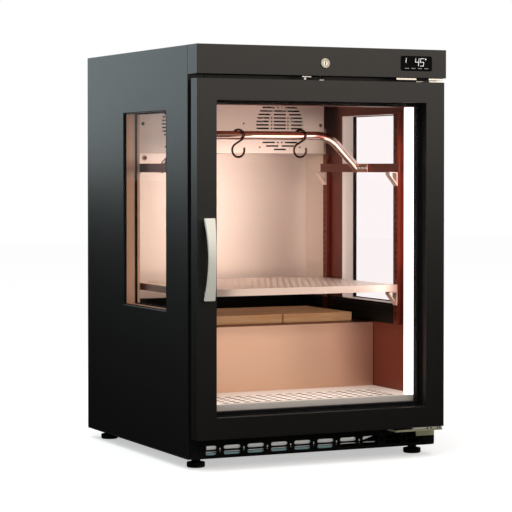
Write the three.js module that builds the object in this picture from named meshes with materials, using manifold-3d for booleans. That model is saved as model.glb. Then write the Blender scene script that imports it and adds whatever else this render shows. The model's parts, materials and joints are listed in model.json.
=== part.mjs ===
// Dry aging cabinet with a glass door, two side windows, a hanging bar and a cooling unit.
// Millimetres, +Z up. The door faces -Y and +X is the hinge side.
// The origin is on the floor, under the middle of the outer box.
// Inside the group, y is counted from the front of the door and z from the bottom of the case.

import * as THREE from "three";
import { mergeGeometries, mergeVertices } from "three/addons/utils/BufferGeometryUtils.js";
import Module from "manifold-3d";

const wasm = await Module();
wasm.setup();

// Clearances and modelling values
const fit_gap = 0.3;
const overrun = 5;
const weld_distance = 0.0001;

// Whole cabinet
const cabinet_width = 600;
const cabinet_depth = 651;
const case_height = 877;
const foot_height = 22;
const front_zone = 50;
const half_width = cabinet_width / 2;

// Foamed walls and stainless liner
const wall_thickness = 40;
const liner_sheet = 1;
const rear_wall = 41;
const base_sheet = 2;
const sill_bottom = 46;
const floor_height = 106;
const hump_height = 260;
const hump_wall = 29;
const hump_floor = 30;
const machine_depth = 361;
const top_wall = 92;
const header_drop = 33;
const header_depth = 40;
const liner_lip = 8;
const cavity_half = half_width - wall_thickness;
const cavity_rear = cabinet_depth - rear_wall;
const machine_front = cabinet_depth - machine_depth;
const machine_height = hump_height - hump_floor;
const hump_front = machine_front - hump_wall;
const ceiling_height = case_height - top_wall;
const header_bottom = ceiling_height - header_drop;

// Side windows
const window_front = 168;
const window_rear_gap = 191.5;
const window_sill = 48.5;
const window_head = 45.3;
const window_pane = 4;
const outer_pane_inset = 3.5;
const inner_pane_depth = 7;
const window_rear = cavity_rear - window_rear_gap;
const window_bottom = hump_height + window_sill;
const window_top = ceiling_height - window_head;

// Canopy over the door
const canopy_height = 62.5;
const canopy_sheet = 1.5;
const canopy_bottom = case_height - canopy_height;

// Controller in the canopy
const controller_width = 77.5;
const controller_height = 31.3;
const controller_right_gap = 36.7;
const controller_rise = 15.5;
const controller_depth = 28;
const controller_proud = 1;
const controller_corner = 4;
const key_count = 4;
const key_width = 11;
const key_height = 3.4;
const key_thickness = 1.6;
const key_proud = 0.4;
const key_travel = 0.6;
const key_margin = 9;
const key_rise = 5;
const controller_left = half_width - controller_right_gap - controller_width;
const controller_bottom = canopy_bottom + controller_rise;

// Lock in the canopy
const lock_rise = 27.1;
const rosette_radius = 11;
const rosette_thickness = 2.2;
const rosette_edge = 0.8;
const barrel_radius = 8;
const barrel_length = 16;
const plug_radius = 5.2;
const plug_clearance = 0.3;
const plug_recess = 0.4;
const key_slot_width = 1.6;
const key_slot_height = 6.6;
const key_slot_depth = 5;
const tongue_reach = 33;
const tongue_heel = 6;
const tongue_width = 9;
const tongue_thickness = 2.5;
const tongue_gap = 1;
const lock_height = canopy_bottom + lock_rise;

// Door
const door_right_gap = 4.7;
const door_top_gap = 9.3;
const door_thickness = 31;
const door_face_width = 45.2;
const glass_recess = 20.3;
const glass_overlap = 8;
const glass_thickness = 4;
const spacer_depth = 15.4;
const spacer_reach = 12;
const spacer_margin = 2;
const inner_ring_inset = 14;
const inner_ring_rear = 38;
const glass_lip_rear = 45;
const gasket_inset = 16;
const gasket_width = 18;
const door_bottom = sill_bottom;
const door_left = -half_width;
const door_right = half_width - door_right_gap;
const door_top = canopy_bottom - door_top_gap;

// Door hinges
const pivot_inset = 16;
const pivot_y = 22;
const pin_radius = 4;
const pin_reach = 10;
const bush_clearance = 0.4;
const hinge_reach = 122;
const hinge_front = 6;
const hinge_plate = 4.4;
const hinge_flange = 3;
const hinge_flange_reach = 50;
const hinge_flange_drop = 16;
const hinge_flange_rise = 12;
const door_plate_reach = 80;
const door_plate_front = 4;
const door_plate_rear = 29;
const door_plate_thickness = 3.6;
const door_plate_right_gap = 2;
const pivot_x = half_width - pivot_inset;
const hinge_left = half_width - hinge_reach;
const hinge_flange_left = half_width - hinge_flange_reach;
const door_plate_left = half_width - door_plate_reach;

// Door keeper and door switch in the gap under the canopy
const keeper_half = 5;
const keeper_front = 16.5;
const keeper_rear = 30;
const keeper_plate = 1.5;
const keeper_stud_radius = 4;
const keeper_stud_tip = 2.4;
const keeper_stud_height = 5.4;
const switch_left = -50;
const switch_width = 22;
const switch_front = 10;
const switch_rear = 30;
const switch_thickness = 2.6;
const switch_nose_radius = 3.5;
const switch_nose_length = 5.5;

// Door handle
const handle_inset = 24;
const handle_length = 173;
const handle_proud = 28;
const handle_end_proud = 13;
const handle_thickness = 6;
const handle_end_width = 24;
const handle_waist = 16;
const handle_post_radius = 7;
const handle_post_inset = 14;
const handle_x = -half_width + handle_inset;
const handle_bottom = (door_bottom + door_top - handle_length) / 2;

// Kick grille under the door
const kick_sheet = 4;
const kick_right_gap = 2.5;
const kick_corner = 6;
const kick_slot_margin = 15;
const kick_slot_pitch = 55.8;
const kick_slot_length = 40.8;
const kick_row_offset = 2.8;
const kick_upper_slot = 8.5;
const kick_upper_height = 22.8;
const kick_lower_slot = 9.5;
const kick_lower_height = 11.6;
const kick_small_width = 4.6;
const kick_small_height = 10;
const kick_front = front_zone - kick_sheet;

// Light bars beside the door opening
const light_width = 28;
const light_gap = 2;
const light_depth = 17.6;
const light_inner = cavity_half - light_width;
const light_front = front_zone + light_gap;

// Slotted uprights and what hangs on them
const upright_width = 19;
const upright_depth = 8;
const upright_sheet = 1.2;
const upright_rise = 10;
const front_upright = 142;
const front_upright_drop = 40;
const rear_upright_gap = 116;
const rear_upright_drop = 135;
const upright_slot_width = 4;
const upright_slot_height = 7;
const upright_slot_pitch = 27.2;
const bracket_reach = 29;
const bracket_drop = 32;
const bracket_width = 20;
const bracket_strap = 2.5;
const bracket_nose = 6;
const rail_drop = 178;
const rail_height = 20;
const rail_thickness = 3;
const rail_gap = 10;
const rail_front_overhang = 24;
const rail_rear_overhang = 14;
const rail_seat = 1;
const upright_bottom = hump_height + upright_rise;
const front_upright_top = ceiling_height - front_upright_drop;
const rear_upright = cavity_rear - rear_upright_gap;
const rear_upright_top = ceiling_height - rear_upright_drop;
const rail_bottom = ceiling_height - rail_drop;
const rail_x = cavity_half - rail_gap;
const rail_front = front_upright - rail_front_overhang;
const rail_rear = rear_upright + rail_rear_overhang;

// Shelf
const shelf_rise = 93.5;
const shelf_lip = 15.5;
const shelf_front_overhang = 12;
const shelf_rear_overhang = 26;
const shelf_gap = 10;
const shelf_sheet = 1.2;
const shelf_slot_length = 42;
const shelf_slot_width = 5;
const shelf_slot_pitch = 64;
const shelf_slot_rows = 6;
const shelf_slot_margin = 24;
const shelf_top = hump_height + shelf_rise;
const shelf_front = front_upright - shelf_front_overhang;
const shelf_rear = rear_upright + shelf_rear_overhang;
const shelf_half = cavity_half - shelf_gap;

// Floor tray
const tray_height = 7;
const tray_sheet = 1.2;
const tray_slot_length = 11;
const tray_slot_width = 4.5;
const tray_slot_pitch = 30;
const tray_slot_rows = 4;
const tray_slot_margin = 18;
const tray_top = floor_height + tray_height;

// Hanging bar
const bar_radius = 9.75;
const bar_offset = 2;
const bar_rise = 84.6;
const bar_end_run = 105.5;
const bar_bend_radius = 75;
const bar_bend_degrees = 45;
const bar_flange_front = 58;
const bar_flange_rear = 12;
const bar_flange_thickness = 4;
const bar_bolt_radius = 4;
const bar_bolt_height = 3;
const bar_bolt_count = 3;
const bar_bolt_pitch = 17;
const bar_y = (front_upright + rear_upright) / 2 + bar_offset;
const bar_height = rail_bottom + bar_rise;
const flange_outer = rail_x - rail_thickness - fit_gap;
const bar_bend_start = flange_outer - bar_end_run;

// S-hooks
const hook_wire = 2.4;
const hook_shares = [-0.413, 0.7];
const hook_clearance = 0.7;
const hook_turn_degrees = 36;
const hook_bowl_radius = 15.9;
const hook_bowl_drop = 33.9;
const hook_loop_start_degrees = 150;
const hook_loop_end_degrees = -55;
const hook_bowl_start_degrees = 125;
const hook_bowl_end_degrees = 380;

// Boards on the hump
const board_thickness = 20;
const board_width = 178;
const board_front_gap = 56;
const board_rear_gap = 53;
const board_right_gap = 27;
const board_gap = 3;
const board_corner = 3;
const board_front = hump_front + board_front_gap;
const board_depth = cavity_rear - board_rear_gap - board_front;
const board_left = cavity_half - board_right_gap - board_gap - 2 * board_width;

// Evaporator cover with two fan grilles
const cover_depth = 137;
const cover_side_gap = 21.5;
const cover_height = 133.4;
const cover_sheet = 1.2;
const fan_side_gap = 117.5;
const fan_rise = 67.4;
const grille_radius = 60;
const grille_rows = 15;
const grille_pitch = 8;
const grille_slot_height = 3;
const grille_slot_length = 32;
const grille_bridge = 9;
const cover_hole_radius = 4;
const cover_hole_inset = 8.5;
const cover_front = cavity_rear - cover_depth;
const cover_half = cavity_half - cover_side_gap;
const cover_bottom = ceiling_height - cover_height;
const fan_height = cover_bottom + fan_rise;

// Compact evaporator fans
const fan_frame_size = 118;
const fan_frame_depth = 34;
const fan_bore_radius = 56;
const fan_tip_clearance = 2;
const fan_hub_radius = 29;
const fan_hub_depth = 20;
const fan_blade_count = 7;
const fan_blade_thickness = 2;
const fan_blade_chord = 26;
const fan_root_degrees = 48;
const fan_tip_degrees = 28;
const fan_motor_radius = 27;
const fan_strut_width = 6;
const fan_strut_depth = 4;

// Evaporator coil
const coil_side_gap = 33.5;
const coil_gap = 12;
const coil_depth = 60;
const coil_fins = 17;
const coil_fin_share = 0.3;
const coil_web = 10;
const coil_rise = 10;
const coil_half = cover_half - coil_side_gap;

// Machine bay
const compressor_side_gap = 62;
const compressor_rear_gap = 103;
const compressor_radius = 78;
const compressor_height = 165;
const compressor_foot = 12;
const compressor_pitch = 130;
const compressor_stand = 18;
const condenser_half = 105;
const condenser_side_gap = 25;
const condenser_front_gap = 20;
const condenser_depth = 45;
const condenser_top_gap = 27.7;
const condenser_fins = 15;
const condenser_fin_share = 0.3;
const condenser_web = 8;
const condenser_fan_margin = 18;
const condenser_shroud_depth = 30;
const condenser_hub_radius = 26;
const condenser_hub_depth = 26;
const condenser_blade_count = 5;
const condenser_blade_chord = 34;
const compressor_x = cavity_half - compressor_side_gap - compressor_radius;
const compressor_y = cabinet_depth - compressor_rear_gap - compressor_radius;
const condenser_x = condenser_side_gap + condenser_half - cavity_half;
const condenser_front = machine_front + condenser_front_gap;

// Rear service grille
const rear_grille_inset = 12;
const rear_grille_sheet = 1.2;
const louvre_columns = 2;
const louvre_rows = 8;
const louvre_length = 170;
const louvre_height = 6;
const louvre_pitch = 21;
const gland_side_gap = 45;
const gland_height = 40;
const gland_radius = 11;
const gland_length = 10;
const gland_x = cavity_half - gland_side_gap;

// Feet
const foot_inset = 35.5;
const foot_front = 88.5;
const foot_rear_inset = 51;
const foot_radius = 20;
const foot_pad_height = 13;
const foot_edge = 2;
const foot_stem_radius = 6;
const foot_nut_radius = 10;
const foot_nut_height = 4;
const foot_x = half_width - foot_inset;
const foot_rear = cabinet_depth - foot_rear_inset;

// Steps on round forms
const round_steps = 20;
const coarse_steps = 14;
const small_steps = 10;
const bend_steps = 6;
const end_steps = 3;
const tube_sides = 10;
const wire_sides = 6;
const bolt_sides = 6;
const blade_steps = 2;

// Finishes
const finish = (color, roughness, metalness) =>
  new THREE.MeshStandardMaterial({ color, roughness, metalness });
const black_paint = finish(0x2b2926, 0.45, 0.3);
const black_plastic = finish(0x161616, 0.6, 0);
const gloss_black = finish(0x0c0c0e, 0.1, 0);
const stainless = finish(0xcbb8ae, 0.3, 0.9);
const bright_steel = finish(0xd8d8d2, 0.25, 1);
const galvanised = finish(0xa2a6a8, 0.5, 0.8);
const soft_rubber = finish(0x141414, 0.8, 0);
const pale_wood = finish(0xd9a878, 0.6, 0);
const light_white = finish(0xffffff, 0.4, 0);
const clear_glass = new THREE.MeshStandardMaterial({
  color: 0xe8f0ee, roughness: 0.05, metalness: 0, transparent: true, opacity: 0.3,
});

// The construction frame: the front of the door is at y = 0 and the bottom of the case at z = 0.
const cabinet = new THREE.Group();
const construction = new THREE.Group();
construction.position.set(0, -(cabinet_depth - handle_proud) / 2, foot_height);
cabinet.add(construction);

// Shapes and solids

function block(x0, x1, y0, y1, z0, z1) {
  const geometry = new THREE.BoxGeometry(x1 - x0, y1 - y0, z1 - z0);
  geometry.translate((x0 + x1) / 2, (y0 + y1) / 2, (z0 + z1) / 2);
  return geometry;
}

function toSolid(geometry) {
  const bare = geometry.clone();
  bare.deleteAttribute("normal");
  bare.deleteAttribute("uv");
  const merged = mergeVertices(bare, weld_distance);
  const index = merged.index.array;
  const kept = [];
  for (let i = 0; i < index.length; i += 3) {
    const [a, b, c] = [index[i], index[i + 1], index[i + 2]];
    if (a !== b && b !== c && c !== a) kept.push(a, b, c);
  }
  const vertProperties = new Float32Array(merged.attributes.position.array);
  const triVerts = new Uint32Array(kept);
  return new wasm.Manifold(new wasm.Mesh({ numProp: 3, vertProperties, triVerts }));
}

function toGeometry(solid) {
  const { vertProperties, triVerts } = solid.getMesh();
  const geometry = new THREE.BufferGeometry();
  geometry.setAttribute("position", new THREE.BufferAttribute(vertProperties, 3));
  geometry.setIndex(new THREE.BufferAttribute(triVerts, 1));
  geometry.computeVertexNormals();
  return geometry;
}

const asSolid = (piece) => (piece instanceof wasm.Manifold ? piece : toSolid(piece));
const join = (...pieces) => pieces.map(asSolid).reduce((whole, piece) => whole.add(piece));
const cut = (base, ...tools) =>
  tools.map(asSolid).reduce((rest, tool) => rest.subtract(tool), asSolid(base));
const common = (a, b) => asSolid(a).intersect(asSolid(b));

function extrude(shape, depth) {
  return new THREE.ExtrudeGeometry(shape, { depth, bevelEnabled: false, curveSegments: end_steps });
}

// A shape drawn in x and z, given its thickness from y0 towards +y.
function facingPlate(shape, thickness, y0) {
  const geometry = extrude(shape, thickness);
  geometry.rotateX(Math.PI / 2);
  geometry.translate(0, y0 + thickness, 0);
  return geometry;
}

// A shape drawn in y and z, given its thickness from x0 towards +x.
function sidePlate(shape, thickness, x0) {
  const geometry = extrude(shape, thickness);
  const yAxis = new THREE.Vector3(0, 1, 0);
  const zAxis = new THREE.Vector3(0, 0, 1);
  const xAxis = new THREE.Vector3(1, 0, 0);
  geometry.applyMatrix4(new THREE.Matrix4().makeBasis(yAxis, zAxis, xAxis));
  geometry.translate(x0, 0, 0);
  return geometry;
}

// A shape drawn in x and y, given its thickness from z0 upwards.
function flatPlate(shape, thickness, z0) {
  const geometry = extrude(shape, thickness);
  geometry.translate(0, 0, z0);
  return geometry;
}

const points = (pairs) => pairs.map(([u, v]) => new THREE.Vector2(u, v));
const outline = (pairs) => new THREE.Shape(points(pairs));
const rectangle = (u0, u1, v0, v1) => [[u0, v0], [u1, v0], [u1, v1], [u0, v1]];

function roundedRectangle(u0, u1, v0, v1, radius, steps = end_steps) {
  const centres = [
    [u1 - radius, v0 + radius, -Math.PI / 2],
    [u1 - radius, v1 - radius, 0],
    [u0 + radius, v1 - radius, Math.PI / 2],
    [u0 + radius, v0 + radius, Math.PI],
  ];
  return centres.flatMap(([u, v, start]) =>
    Array.from({ length: steps + 1 }, (_, i) => {
      const angle = start + (i / steps) * (Math.PI / 2);
      return [u + radius * Math.cos(angle), v + radius * Math.sin(angle)];
    }));
}

function roundEndedSlot(u, v, length, width, steps = end_steps) {
  const reach = (length - width) / 2;
  const radius = width / 2;
  return [1, -1].flatMap((end) =>
    Array.from({ length: steps + 1 }, (_, i) => {
      const angle = -Math.PI / 2 + (i / steps) * Math.PI;
      return [u + end * (reach + radius * Math.cos(angle)), v + end * radius * Math.sin(angle)];
    }));
}

const slotAt = (u, v, length, width) =>
  rectangle(u - length / 2, u + length / 2, v - width / 2, v + width / 2);

// Cutters for holes that run right through a plate of one of the three kinds above.
function holeCutters(plate, holes, thickness, start) {
  return mergeGeometries(holes.map((hole) =>
    plate(outline(hole), thickness + overrun * 2, start - overrun)));
}

function pierced(plate, pairs, holes, thickness, start) {
  return cut(
    plate(outline(pairs), thickness, start), holeCutters(plate, holes, thickness, start),
  );
}

function circlePoints(u, v, radius, steps) {
  return Array.from({ length: steps }, (_, i) => {
    const angle = (i / steps) * 2 * Math.PI;
    return [u + radius * Math.cos(angle), v + radius * Math.sin(angle)];
  });
}

// A turned form about the z axis: the profile holds [radius, height] pairs, bottom to top.
function turned(profile, steps) {
  const geometry = new THREE.LatheGeometry(points(profile), steps);
  geometry.rotateX(Math.PI / 2);
  return geometry;
}

function upCylinder(x, y, radius, z0, z1, steps) {
  const geometry = turned([[0, z0], [radius, z0], [radius, z1], [0, z1]], steps);
  geometry.translate(x, y, 0);
  return geometry;
}

// A turned form about the y axis: heights in the profile become distances along +y.
function turnedAlongY(profile, steps) {
  const geometry = new THREE.LatheGeometry(points(profile), steps);
  return geometry;
}

function backCylinder(x, z, radius, y0, y1, steps) {
  const geometry = turnedAlongY([[0, y0], [radius, y0], [radius, y1], [0, y1]], steps);
  geometry.translate(x, 0, z);
  return geometry;
}

// A round bar along a line of points in one plane; the unit vector across is square to the plane.
function roundBar(line, across, radius, steps) {
  const positions = [];
  const index = [];
  const step = new THREE.Vector3();
  line.forEach((point, i) => {
    const along = new THREE.Vector3();
    if (i > 0) along.add(step.subVectors(point, line[i - 1]).normalize());
    if (i < line.length - 1) along.add(step.subVectors(line[i + 1], point).normalize());
    const outwards = along.normalize().cross(across);
    for (const [u, v] of circlePoints(0, 0, radius, steps)) {
      const corner = point.clone().addScaledVector(outwards, u).addScaledVector(across, v);
      positions.push(...corner.toArray());
    }
  });
  const last = (line.length - 1) * steps;
  for (let k = 0; k < last; k += 1) {
    const next = k - (k % steps) + ((k + 1) % steps);
    index.push(k, k + steps, next, k + steps, next + steps, next);
  }
  for (let k = 1; k < steps - 1; k += 1) {
    index.push(0, k, k + 1, last, last + k + 1, last + k);
  }
  const geometry = new THREE.BufferGeometry();
  geometry.setAttribute("position", new THREE.Float32BufferAttribute(positions, 3));
  geometry.setIndex(index);
  geometry.computeVertexNormals();
  return geometry;
}

function place(name, piece, material) {
  const geometry = piece instanceof wasm.Manifold ? toGeometry(piece) : piece;
  const mesh = new THREE.Mesh(geometry, material);
  mesh.name = name;
  construction.add(mesh);
  return mesh;
}

const sides = [["left", -1], ["right", 1]];
const between = (side, near, far) => (side < 0 ? [-far, -near] : [near, far]);

// Foamed side walls, each with its window opening

const wall_inner = cavity_half + liner_sheet + fit_gap;
const window_clear = liner_sheet + fit_gap;

function sideWall(side) {
  const [x0] = between(side, wall_inner, half_width);
  const wall = rectangle(front_zone, cabinet_depth, base_sheet + fit_gap, case_height);
  const opening = rectangle(
    window_front - window_clear, window_rear + window_clear,
    window_bottom - window_clear, window_top + window_clear,
  );
  return pierced(sidePlate, wall, [opening], half_width - wall_inner, x0);
}

for (const [label, side] of sides) place(`side_wall_${label}`, sideWall(side), black_paint);

// Foamed top, rear and stepped floor in one shell between the side walls

function cavityOutline(grow) {
  return [
    [front_zone, floor_height - grow],
    [hump_front + grow, floor_height - grow],
    [hump_front + grow, hump_height - grow],
    [cavity_rear + grow, hump_height - grow],
    [cavity_rear + grow, ceiling_height + grow],
    [front_zone + header_depth - grow, ceiling_height + grow],
    [front_zone + header_depth - grow, header_bottom + grow],
    [front_zone, header_bottom + grow],
  ];
}

const carcass_outer = [
  [front_zone, case_height],
  [cabinet_depth, case_height],
  [cabinet_depth, machine_height],
  [machine_front, machine_height],
  [machine_front, sill_bottom],
  [front_zone, sill_bottom],
];
const carcass_half = wall_inner - fit_gap;
const carcass_profile = outline([...carcass_outer, ...cavityOutline(liner_sheet + fit_gap)]);
place("carcass", sidePlate(carcass_profile, carcass_half * 2, -carcass_half), black_paint);

// Stainless liner: floor, hump over the machine bay, rear, ceiling, sides and window reveals

const reveal_outer = half_width - outer_pane_inset - window_pane - fit_gap;

function windowBlock(x0, x1, grow) {
  return block(
    x0, x1, window_front - grow, window_rear + grow, window_bottom - grow, window_top + grow,
  );
}

function liner() {
  const half = cavity_half + liner_sheet;
  const shell = cut(
    sidePlate(outline(cavityOutline(liner_sheet)), half * 2, -half),
    sidePlate(outline(cavityOutline(0)), cavity_half * 2, -cavity_half),
  );
  const mouth = block(
    -cavity_half, cavity_half, front_zone - overrun, front_zone + overrun,
    floor_height, header_bottom,
  );
  const lip = block(
    -cavity_half, cavity_half, front_zone - liner_sheet, front_zone + liner_sheet,
    floor_height - liner_lip, floor_height,
  );
  const lip_seat = block(
    -cavity_half, cavity_half, front_zone - fit_gap, front_zone + liner_sheet + overrun,
    floor_height - liner_lip - overrun, floor_height - liner_sheet,
  );
  const reveals = sides.map(([, side]) => {
    const [x0, x1] = between(side, cavity_half, reveal_outer);
    return windowBlock(x0, x1, liner_sheet);
  });
  const openings = sides.map(([, side]) => {
    const [x0, x1] = between(side, cavity_half - overrun, reveal_outer + overrun);
    return windowBlock(x0, x1, 0);
  });
  const lipped = cut(join(cut(shell, mouth), cut(lip, lip_seat)), mouth);
  return cut(join(lipped, ...reveals), ...openings);
}

place("inner_liner", liner(), stainless);

// Window panes: one near the outside skin, one near the liner

for (const [label, side] of sides) {
  const outer_face = half_width - outer_pane_inset;
  const [outer0, outer1] = between(side, outer_face - window_pane, outer_face);
  const inner_face = cavity_half + inner_pane_depth;
  const [inner0, inner1] = between(side, inner_face, inner_face + window_pane);
  place(`window_outer_pane_${label}`, windowBlock(outer0, outer1, liner_sheet), clear_glass);
  place(`window_inner_pane_${label}`, windowBlock(inner0, inner1, -fit_gap), clear_glass);
}

// Base pan and rear service grille

place("base_pan", block(
  -half_width, half_width, front_zone, cabinet_depth, 0, base_sheet,
), black_paint);

function rearGrille() {
  const half = carcass_half;
  const rear_face = cabinet_depth - rear_grille_inset;
  const bottom = base_sheet + fit_gap;
  const top = machine_height - fit_gap;
  const middle = (bottom + top) / 2;
  const column_pitch = half * 2 / louvre_columns;
  const holes = [];
  for (let column = 0; column < louvre_columns; column += 1) {
    const x = (column - (louvre_columns - 1) / 2) * column_pitch;
    for (let row = 0; row < louvre_rows; row += 1) {
      const z = middle + (row - (louvre_rows - 1) / 2) * louvre_pitch;
      holes.push(slotAt(x, z, louvre_length, louvre_height));
    }
  }
  const panel = pierced(
    facingPlate, rectangle(-half, half, bottom, top), holes,
    rear_grille_sheet, rear_face - rear_grille_sheet,
  );
  const gland = backCylinder(
    gland_x, gland_height, gland_radius,
    rear_face - rear_grille_sheet / 2, rear_face + gland_length, round_steps,
  );
  const gland_bore = backCylinder(
    gland_x, gland_height, gland_radius / 2, rear_face + gland_length / 2,
    rear_face + gland_length + overrun, small_steps,
  );
  return cut(join(panel, gland), gland_bore);
}

place("rear_grille", rearGrille(), black_plastic);

// Canopy: a folded fascia, hollow towards the case, with cut-outs for the controller and the lock

const canopy_rear = front_zone - fit_gap;
const tongue_front = barrel_length + tongue_gap;
const tongue_rear = tongue_front + tongue_thickness;

function canopy() {
  const fascia = block(-half_width, half_width, 0, canopy_rear, canopy_bottom, case_height);
  const hollow = block(
    -half_width + canopy_sheet, half_width - canopy_sheet,
    canopy_sheet, canopy_rear + overrun,
    canopy_bottom + canopy_sheet, case_height - canopy_sheet,
  );
  const controller_hole = facingPlate(outline(roundedRectangle(
    controller_left - fit_gap, controller_left + controller_width + fit_gap,
    controller_bottom - fit_gap, controller_bottom + controller_height + fit_gap,
    controller_corner + fit_gap,
  )), canopy_sheet + overrun * 2, -overrun);
  const lock_hole = backCylinder(
    0, lock_height, barrel_radius + fit_gap, -overrun, canopy_sheet + overrun, round_steps,
  );
  const tongue_slot = block(
    -tongue_reach, tongue_width, tongue_front - tongue_gap, tongue_rear + tongue_gap,
    canopy_bottom - overrun, canopy_bottom + canopy_sheet + overrun,
  );
  return cut(fascia, hollow, controller_hole, lock_hole, tongue_slot);
}

place("canopy", canopy(), black_paint);

// Controller with sprung keys in pockets along its lower edge

const key_pocket_depth = key_thickness - key_proud + key_travel + fit_gap;
const key_pitch = (controller_width - 2 * key_margin - key_width) / (key_count - 1);
const key_x = (index) => controller_left + key_margin + key_width / 2 + index * key_pitch;
const key_z = controller_bottom + key_rise;
const key_numbers = Array.from({ length: key_count }, (_, index) => index);

function keyOutline(index, grow) {
  const x = key_x(index);
  return outline(roundEndedSlot(x, key_z, key_width + 2 * grow, key_height + 2 * grow));
}

function controller() {
  const body = facingPlate(outline(roundedRectangle(
    controller_left, controller_left + controller_width,
    controller_bottom, controller_bottom + controller_height, controller_corner,
  )), controller_depth, -controller_proud);
  const pockets = key_numbers.map((index) => facingPlate(
    keyOutline(index, fit_gap), key_pocket_depth + overrun, -controller_proud - overrun,
  ));
  return cut(body, ...pockets);
}

place("controller", controller(), gloss_black);
for (const index of key_numbers) {
  const key = facingPlate(keyOutline(index, 0), key_thickness, -controller_proud - key_proud);
  place(`key_${index + 1}`, key, gloss_black);
}

// Lock: a fixed barrel with its rosette, and the plug that turns in it with the tongue

function lockBarrel() {
  const bore = plug_radius + plug_clearance;
  const rim = rosette_radius - rosette_edge;
  const face = -fit_gap - rosette_thickness;
  const geometry = turnedAlongY([
    [bore, face], [rim, face], [rosette_radius, face + rosette_edge],
    [rosette_radius, -fit_gap], [barrel_radius, -fit_gap],
    [barrel_radius, barrel_length], [bore, barrel_length], [bore, face],
  ], round_steps);
  geometry.translate(0, 0, lock_height);
  return geometry;
}

function lockPlug() {
  const face = -fit_gap - rosette_thickness + plug_recess;
  const plug = backCylinder(0, lock_height, plug_radius, face, tongue_front + fit_gap, round_steps);
  const key_slot = block(
    -key_slot_width / 2, key_slot_width / 2, face - overrun, face + key_slot_depth,
    lock_height - key_slot_height / 2, lock_height + key_slot_height / 2,
  );
  const tongue = facingPlate(outline(roundedRectangle(
    -tongue_reach, tongue_heel,
    lock_height - tongue_width / 2, lock_height + tongue_width / 2, tongue_width / 4,
  )), tongue_thickness, tongue_front);
  return cut(join(plug, tongue), key_slot);
}

place("lock_barrel", lockBarrel(), bright_steel);
place("lock_plug", lockPlug(), bright_steel);

// Keeper on the top edge of the door, which the tongue drops in front of

const keeper_stud_y = tongue_rear + tongue_gap / 2 + keeper_stud_radius;

function lockKeeper() {
  const base = door_top + fit_gap;
  const plate = block(
    -keeper_half, keeper_half, keeper_front, keeper_rear, base, base + keeper_plate,
  );
  const stud = turned([
    [0, base], [keeper_stud_radius, base], [keeper_stud_radius, base + keeper_plate],
    [keeper_stud_tip, base + keeper_plate + keeper_stud_height],
    [0, base + keeper_plate + keeper_stud_height],
  ], round_steps);
  stud.translate(0, keeper_stud_y, 0);
  return join(plate, stud);
}

place("lock_keeper", lockKeeper(), bright_steel);

// Door switch: a plate under the canopy with a round nose over the door

function doorSwitch() {
  const top = canopy_bottom - fit_gap;
  const plate = block(
    switch_left, switch_left + switch_width, switch_front, switch_rear,
    top - switch_thickness, top,
  );
  const nose = upCylinder(
    switch_left + switch_width / 2, (switch_front + switch_rear) / 2, switch_nose_radius,
    top - switch_thickness - switch_nose_length, top - switch_thickness / 2, round_steps,
  );
  return join(plate, nose);
}

place("door_switch", doorSwitch(), bright_steel);

// Kick grille: round-ended air slots in two rows with short slots between

function kickGrille() {
  const right = half_width - kick_right_gap;
  const top = sill_bottom - fit_gap;
  const thickness = front_zone - fit_gap - kick_front;
  const panel = roundedRectangle(-right, right, 0, top, kick_corner);
  const holes = [];
  const count = Math.floor((right - kick_slot_margin) * 2 / kick_slot_pitch);
  for (let i = 0; i < count; i += 1) {
    const x = (i - (count - 1) / 2) * kick_slot_pitch - kick_row_offset;
    holes.push(roundEndedSlot(x, kick_upper_height, kick_slot_length, kick_upper_slot));
    holes.push(roundEndedSlot(x, kick_lower_height, kick_slot_length, kick_lower_slot));
    if (i < count - 1) {
      const z = (kick_upper_height + kick_lower_height) / 2;
      holes.push(slotAt(x + kick_slot_pitch / 2, z, kick_small_width, kick_small_height));
    }
  }
  return pierced(facingPlate, panel, holes, thickness, kick_front);
}

place("kick_grille", kickGrille(), black_plastic);

// Door: frame with a glass pocket, double glazing, gasket

const door_outline = (inset) =>
  rectangle(door_left + inset, door_right - inset, door_bottom + inset, door_top - inset);

function doorRing(outer_inset, inner_inset, y0, y1) {
  return pierced(facingPlate, door_outline(outer_inset), [door_outline(inner_inset)], y1 - y0, y0);
}

const glass_inset = door_face_width - glass_overlap;
const pocket_inset = glass_inset - fit_gap;
const lip_inset = gasket_inset + gasket_width + fit_gap;

function doorFrame() {
  const face = doorRing(0, door_face_width, 0, glass_recess - fit_gap);
  const sleeve = doorRing(0, pocket_inset, 0, door_thickness);
  const inner_ring = doorRing(inner_ring_inset, pocket_inset, 0, inner_ring_rear);
  const glass_lip = doorRing(lip_inset, pocket_inset, 0, glass_lip_rear);
  const bush_radius = pin_radius + bush_clearance;
  const reach = pin_reach + fit_gap * 4;
  const lower_bush = upCylinder(
    pivot_x, pivot_y, bush_radius, door_bottom - overrun, door_bottom + reach, round_steps,
  );
  const upper_bush = upCylinder(
    pivot_x, pivot_y, bush_radius, door_top - reach, door_top + overrun, round_steps,
  );
  return cut(join(face, sleeve, inner_ring, glass_lip), lower_bush, upper_bush);
}

const front_pane_rear = glass_recess + glass_thickness;
const spacer_rear = front_pane_rear + fit_gap + spacer_depth;
const rear_pane_front = spacer_rear + fit_gap;
place("door_frame", doorFrame(), black_paint);
place("door_front_pane", facingPlate(
  outline(door_outline(glass_inset)), glass_thickness, glass_recess,
), clear_glass);
place("door_spacer", doorRing(
  glass_inset + spacer_margin, door_face_width + spacer_reach,
  front_pane_rear + fit_gap, spacer_rear,
), black_plastic);
place("door_rear_pane", facingPlate(
  outline(door_outline(glass_inset)), glass_thickness, rear_pane_front,
), clear_glass);
place("door_gasket", doorRing(
  gasket_inset, gasket_inset + gasket_width, inner_ring_rear + fit_gap, front_zone - fit_gap,
), soft_rubber);

// Door handle: a bowed strap, wide at its ends, on two round posts

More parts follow.
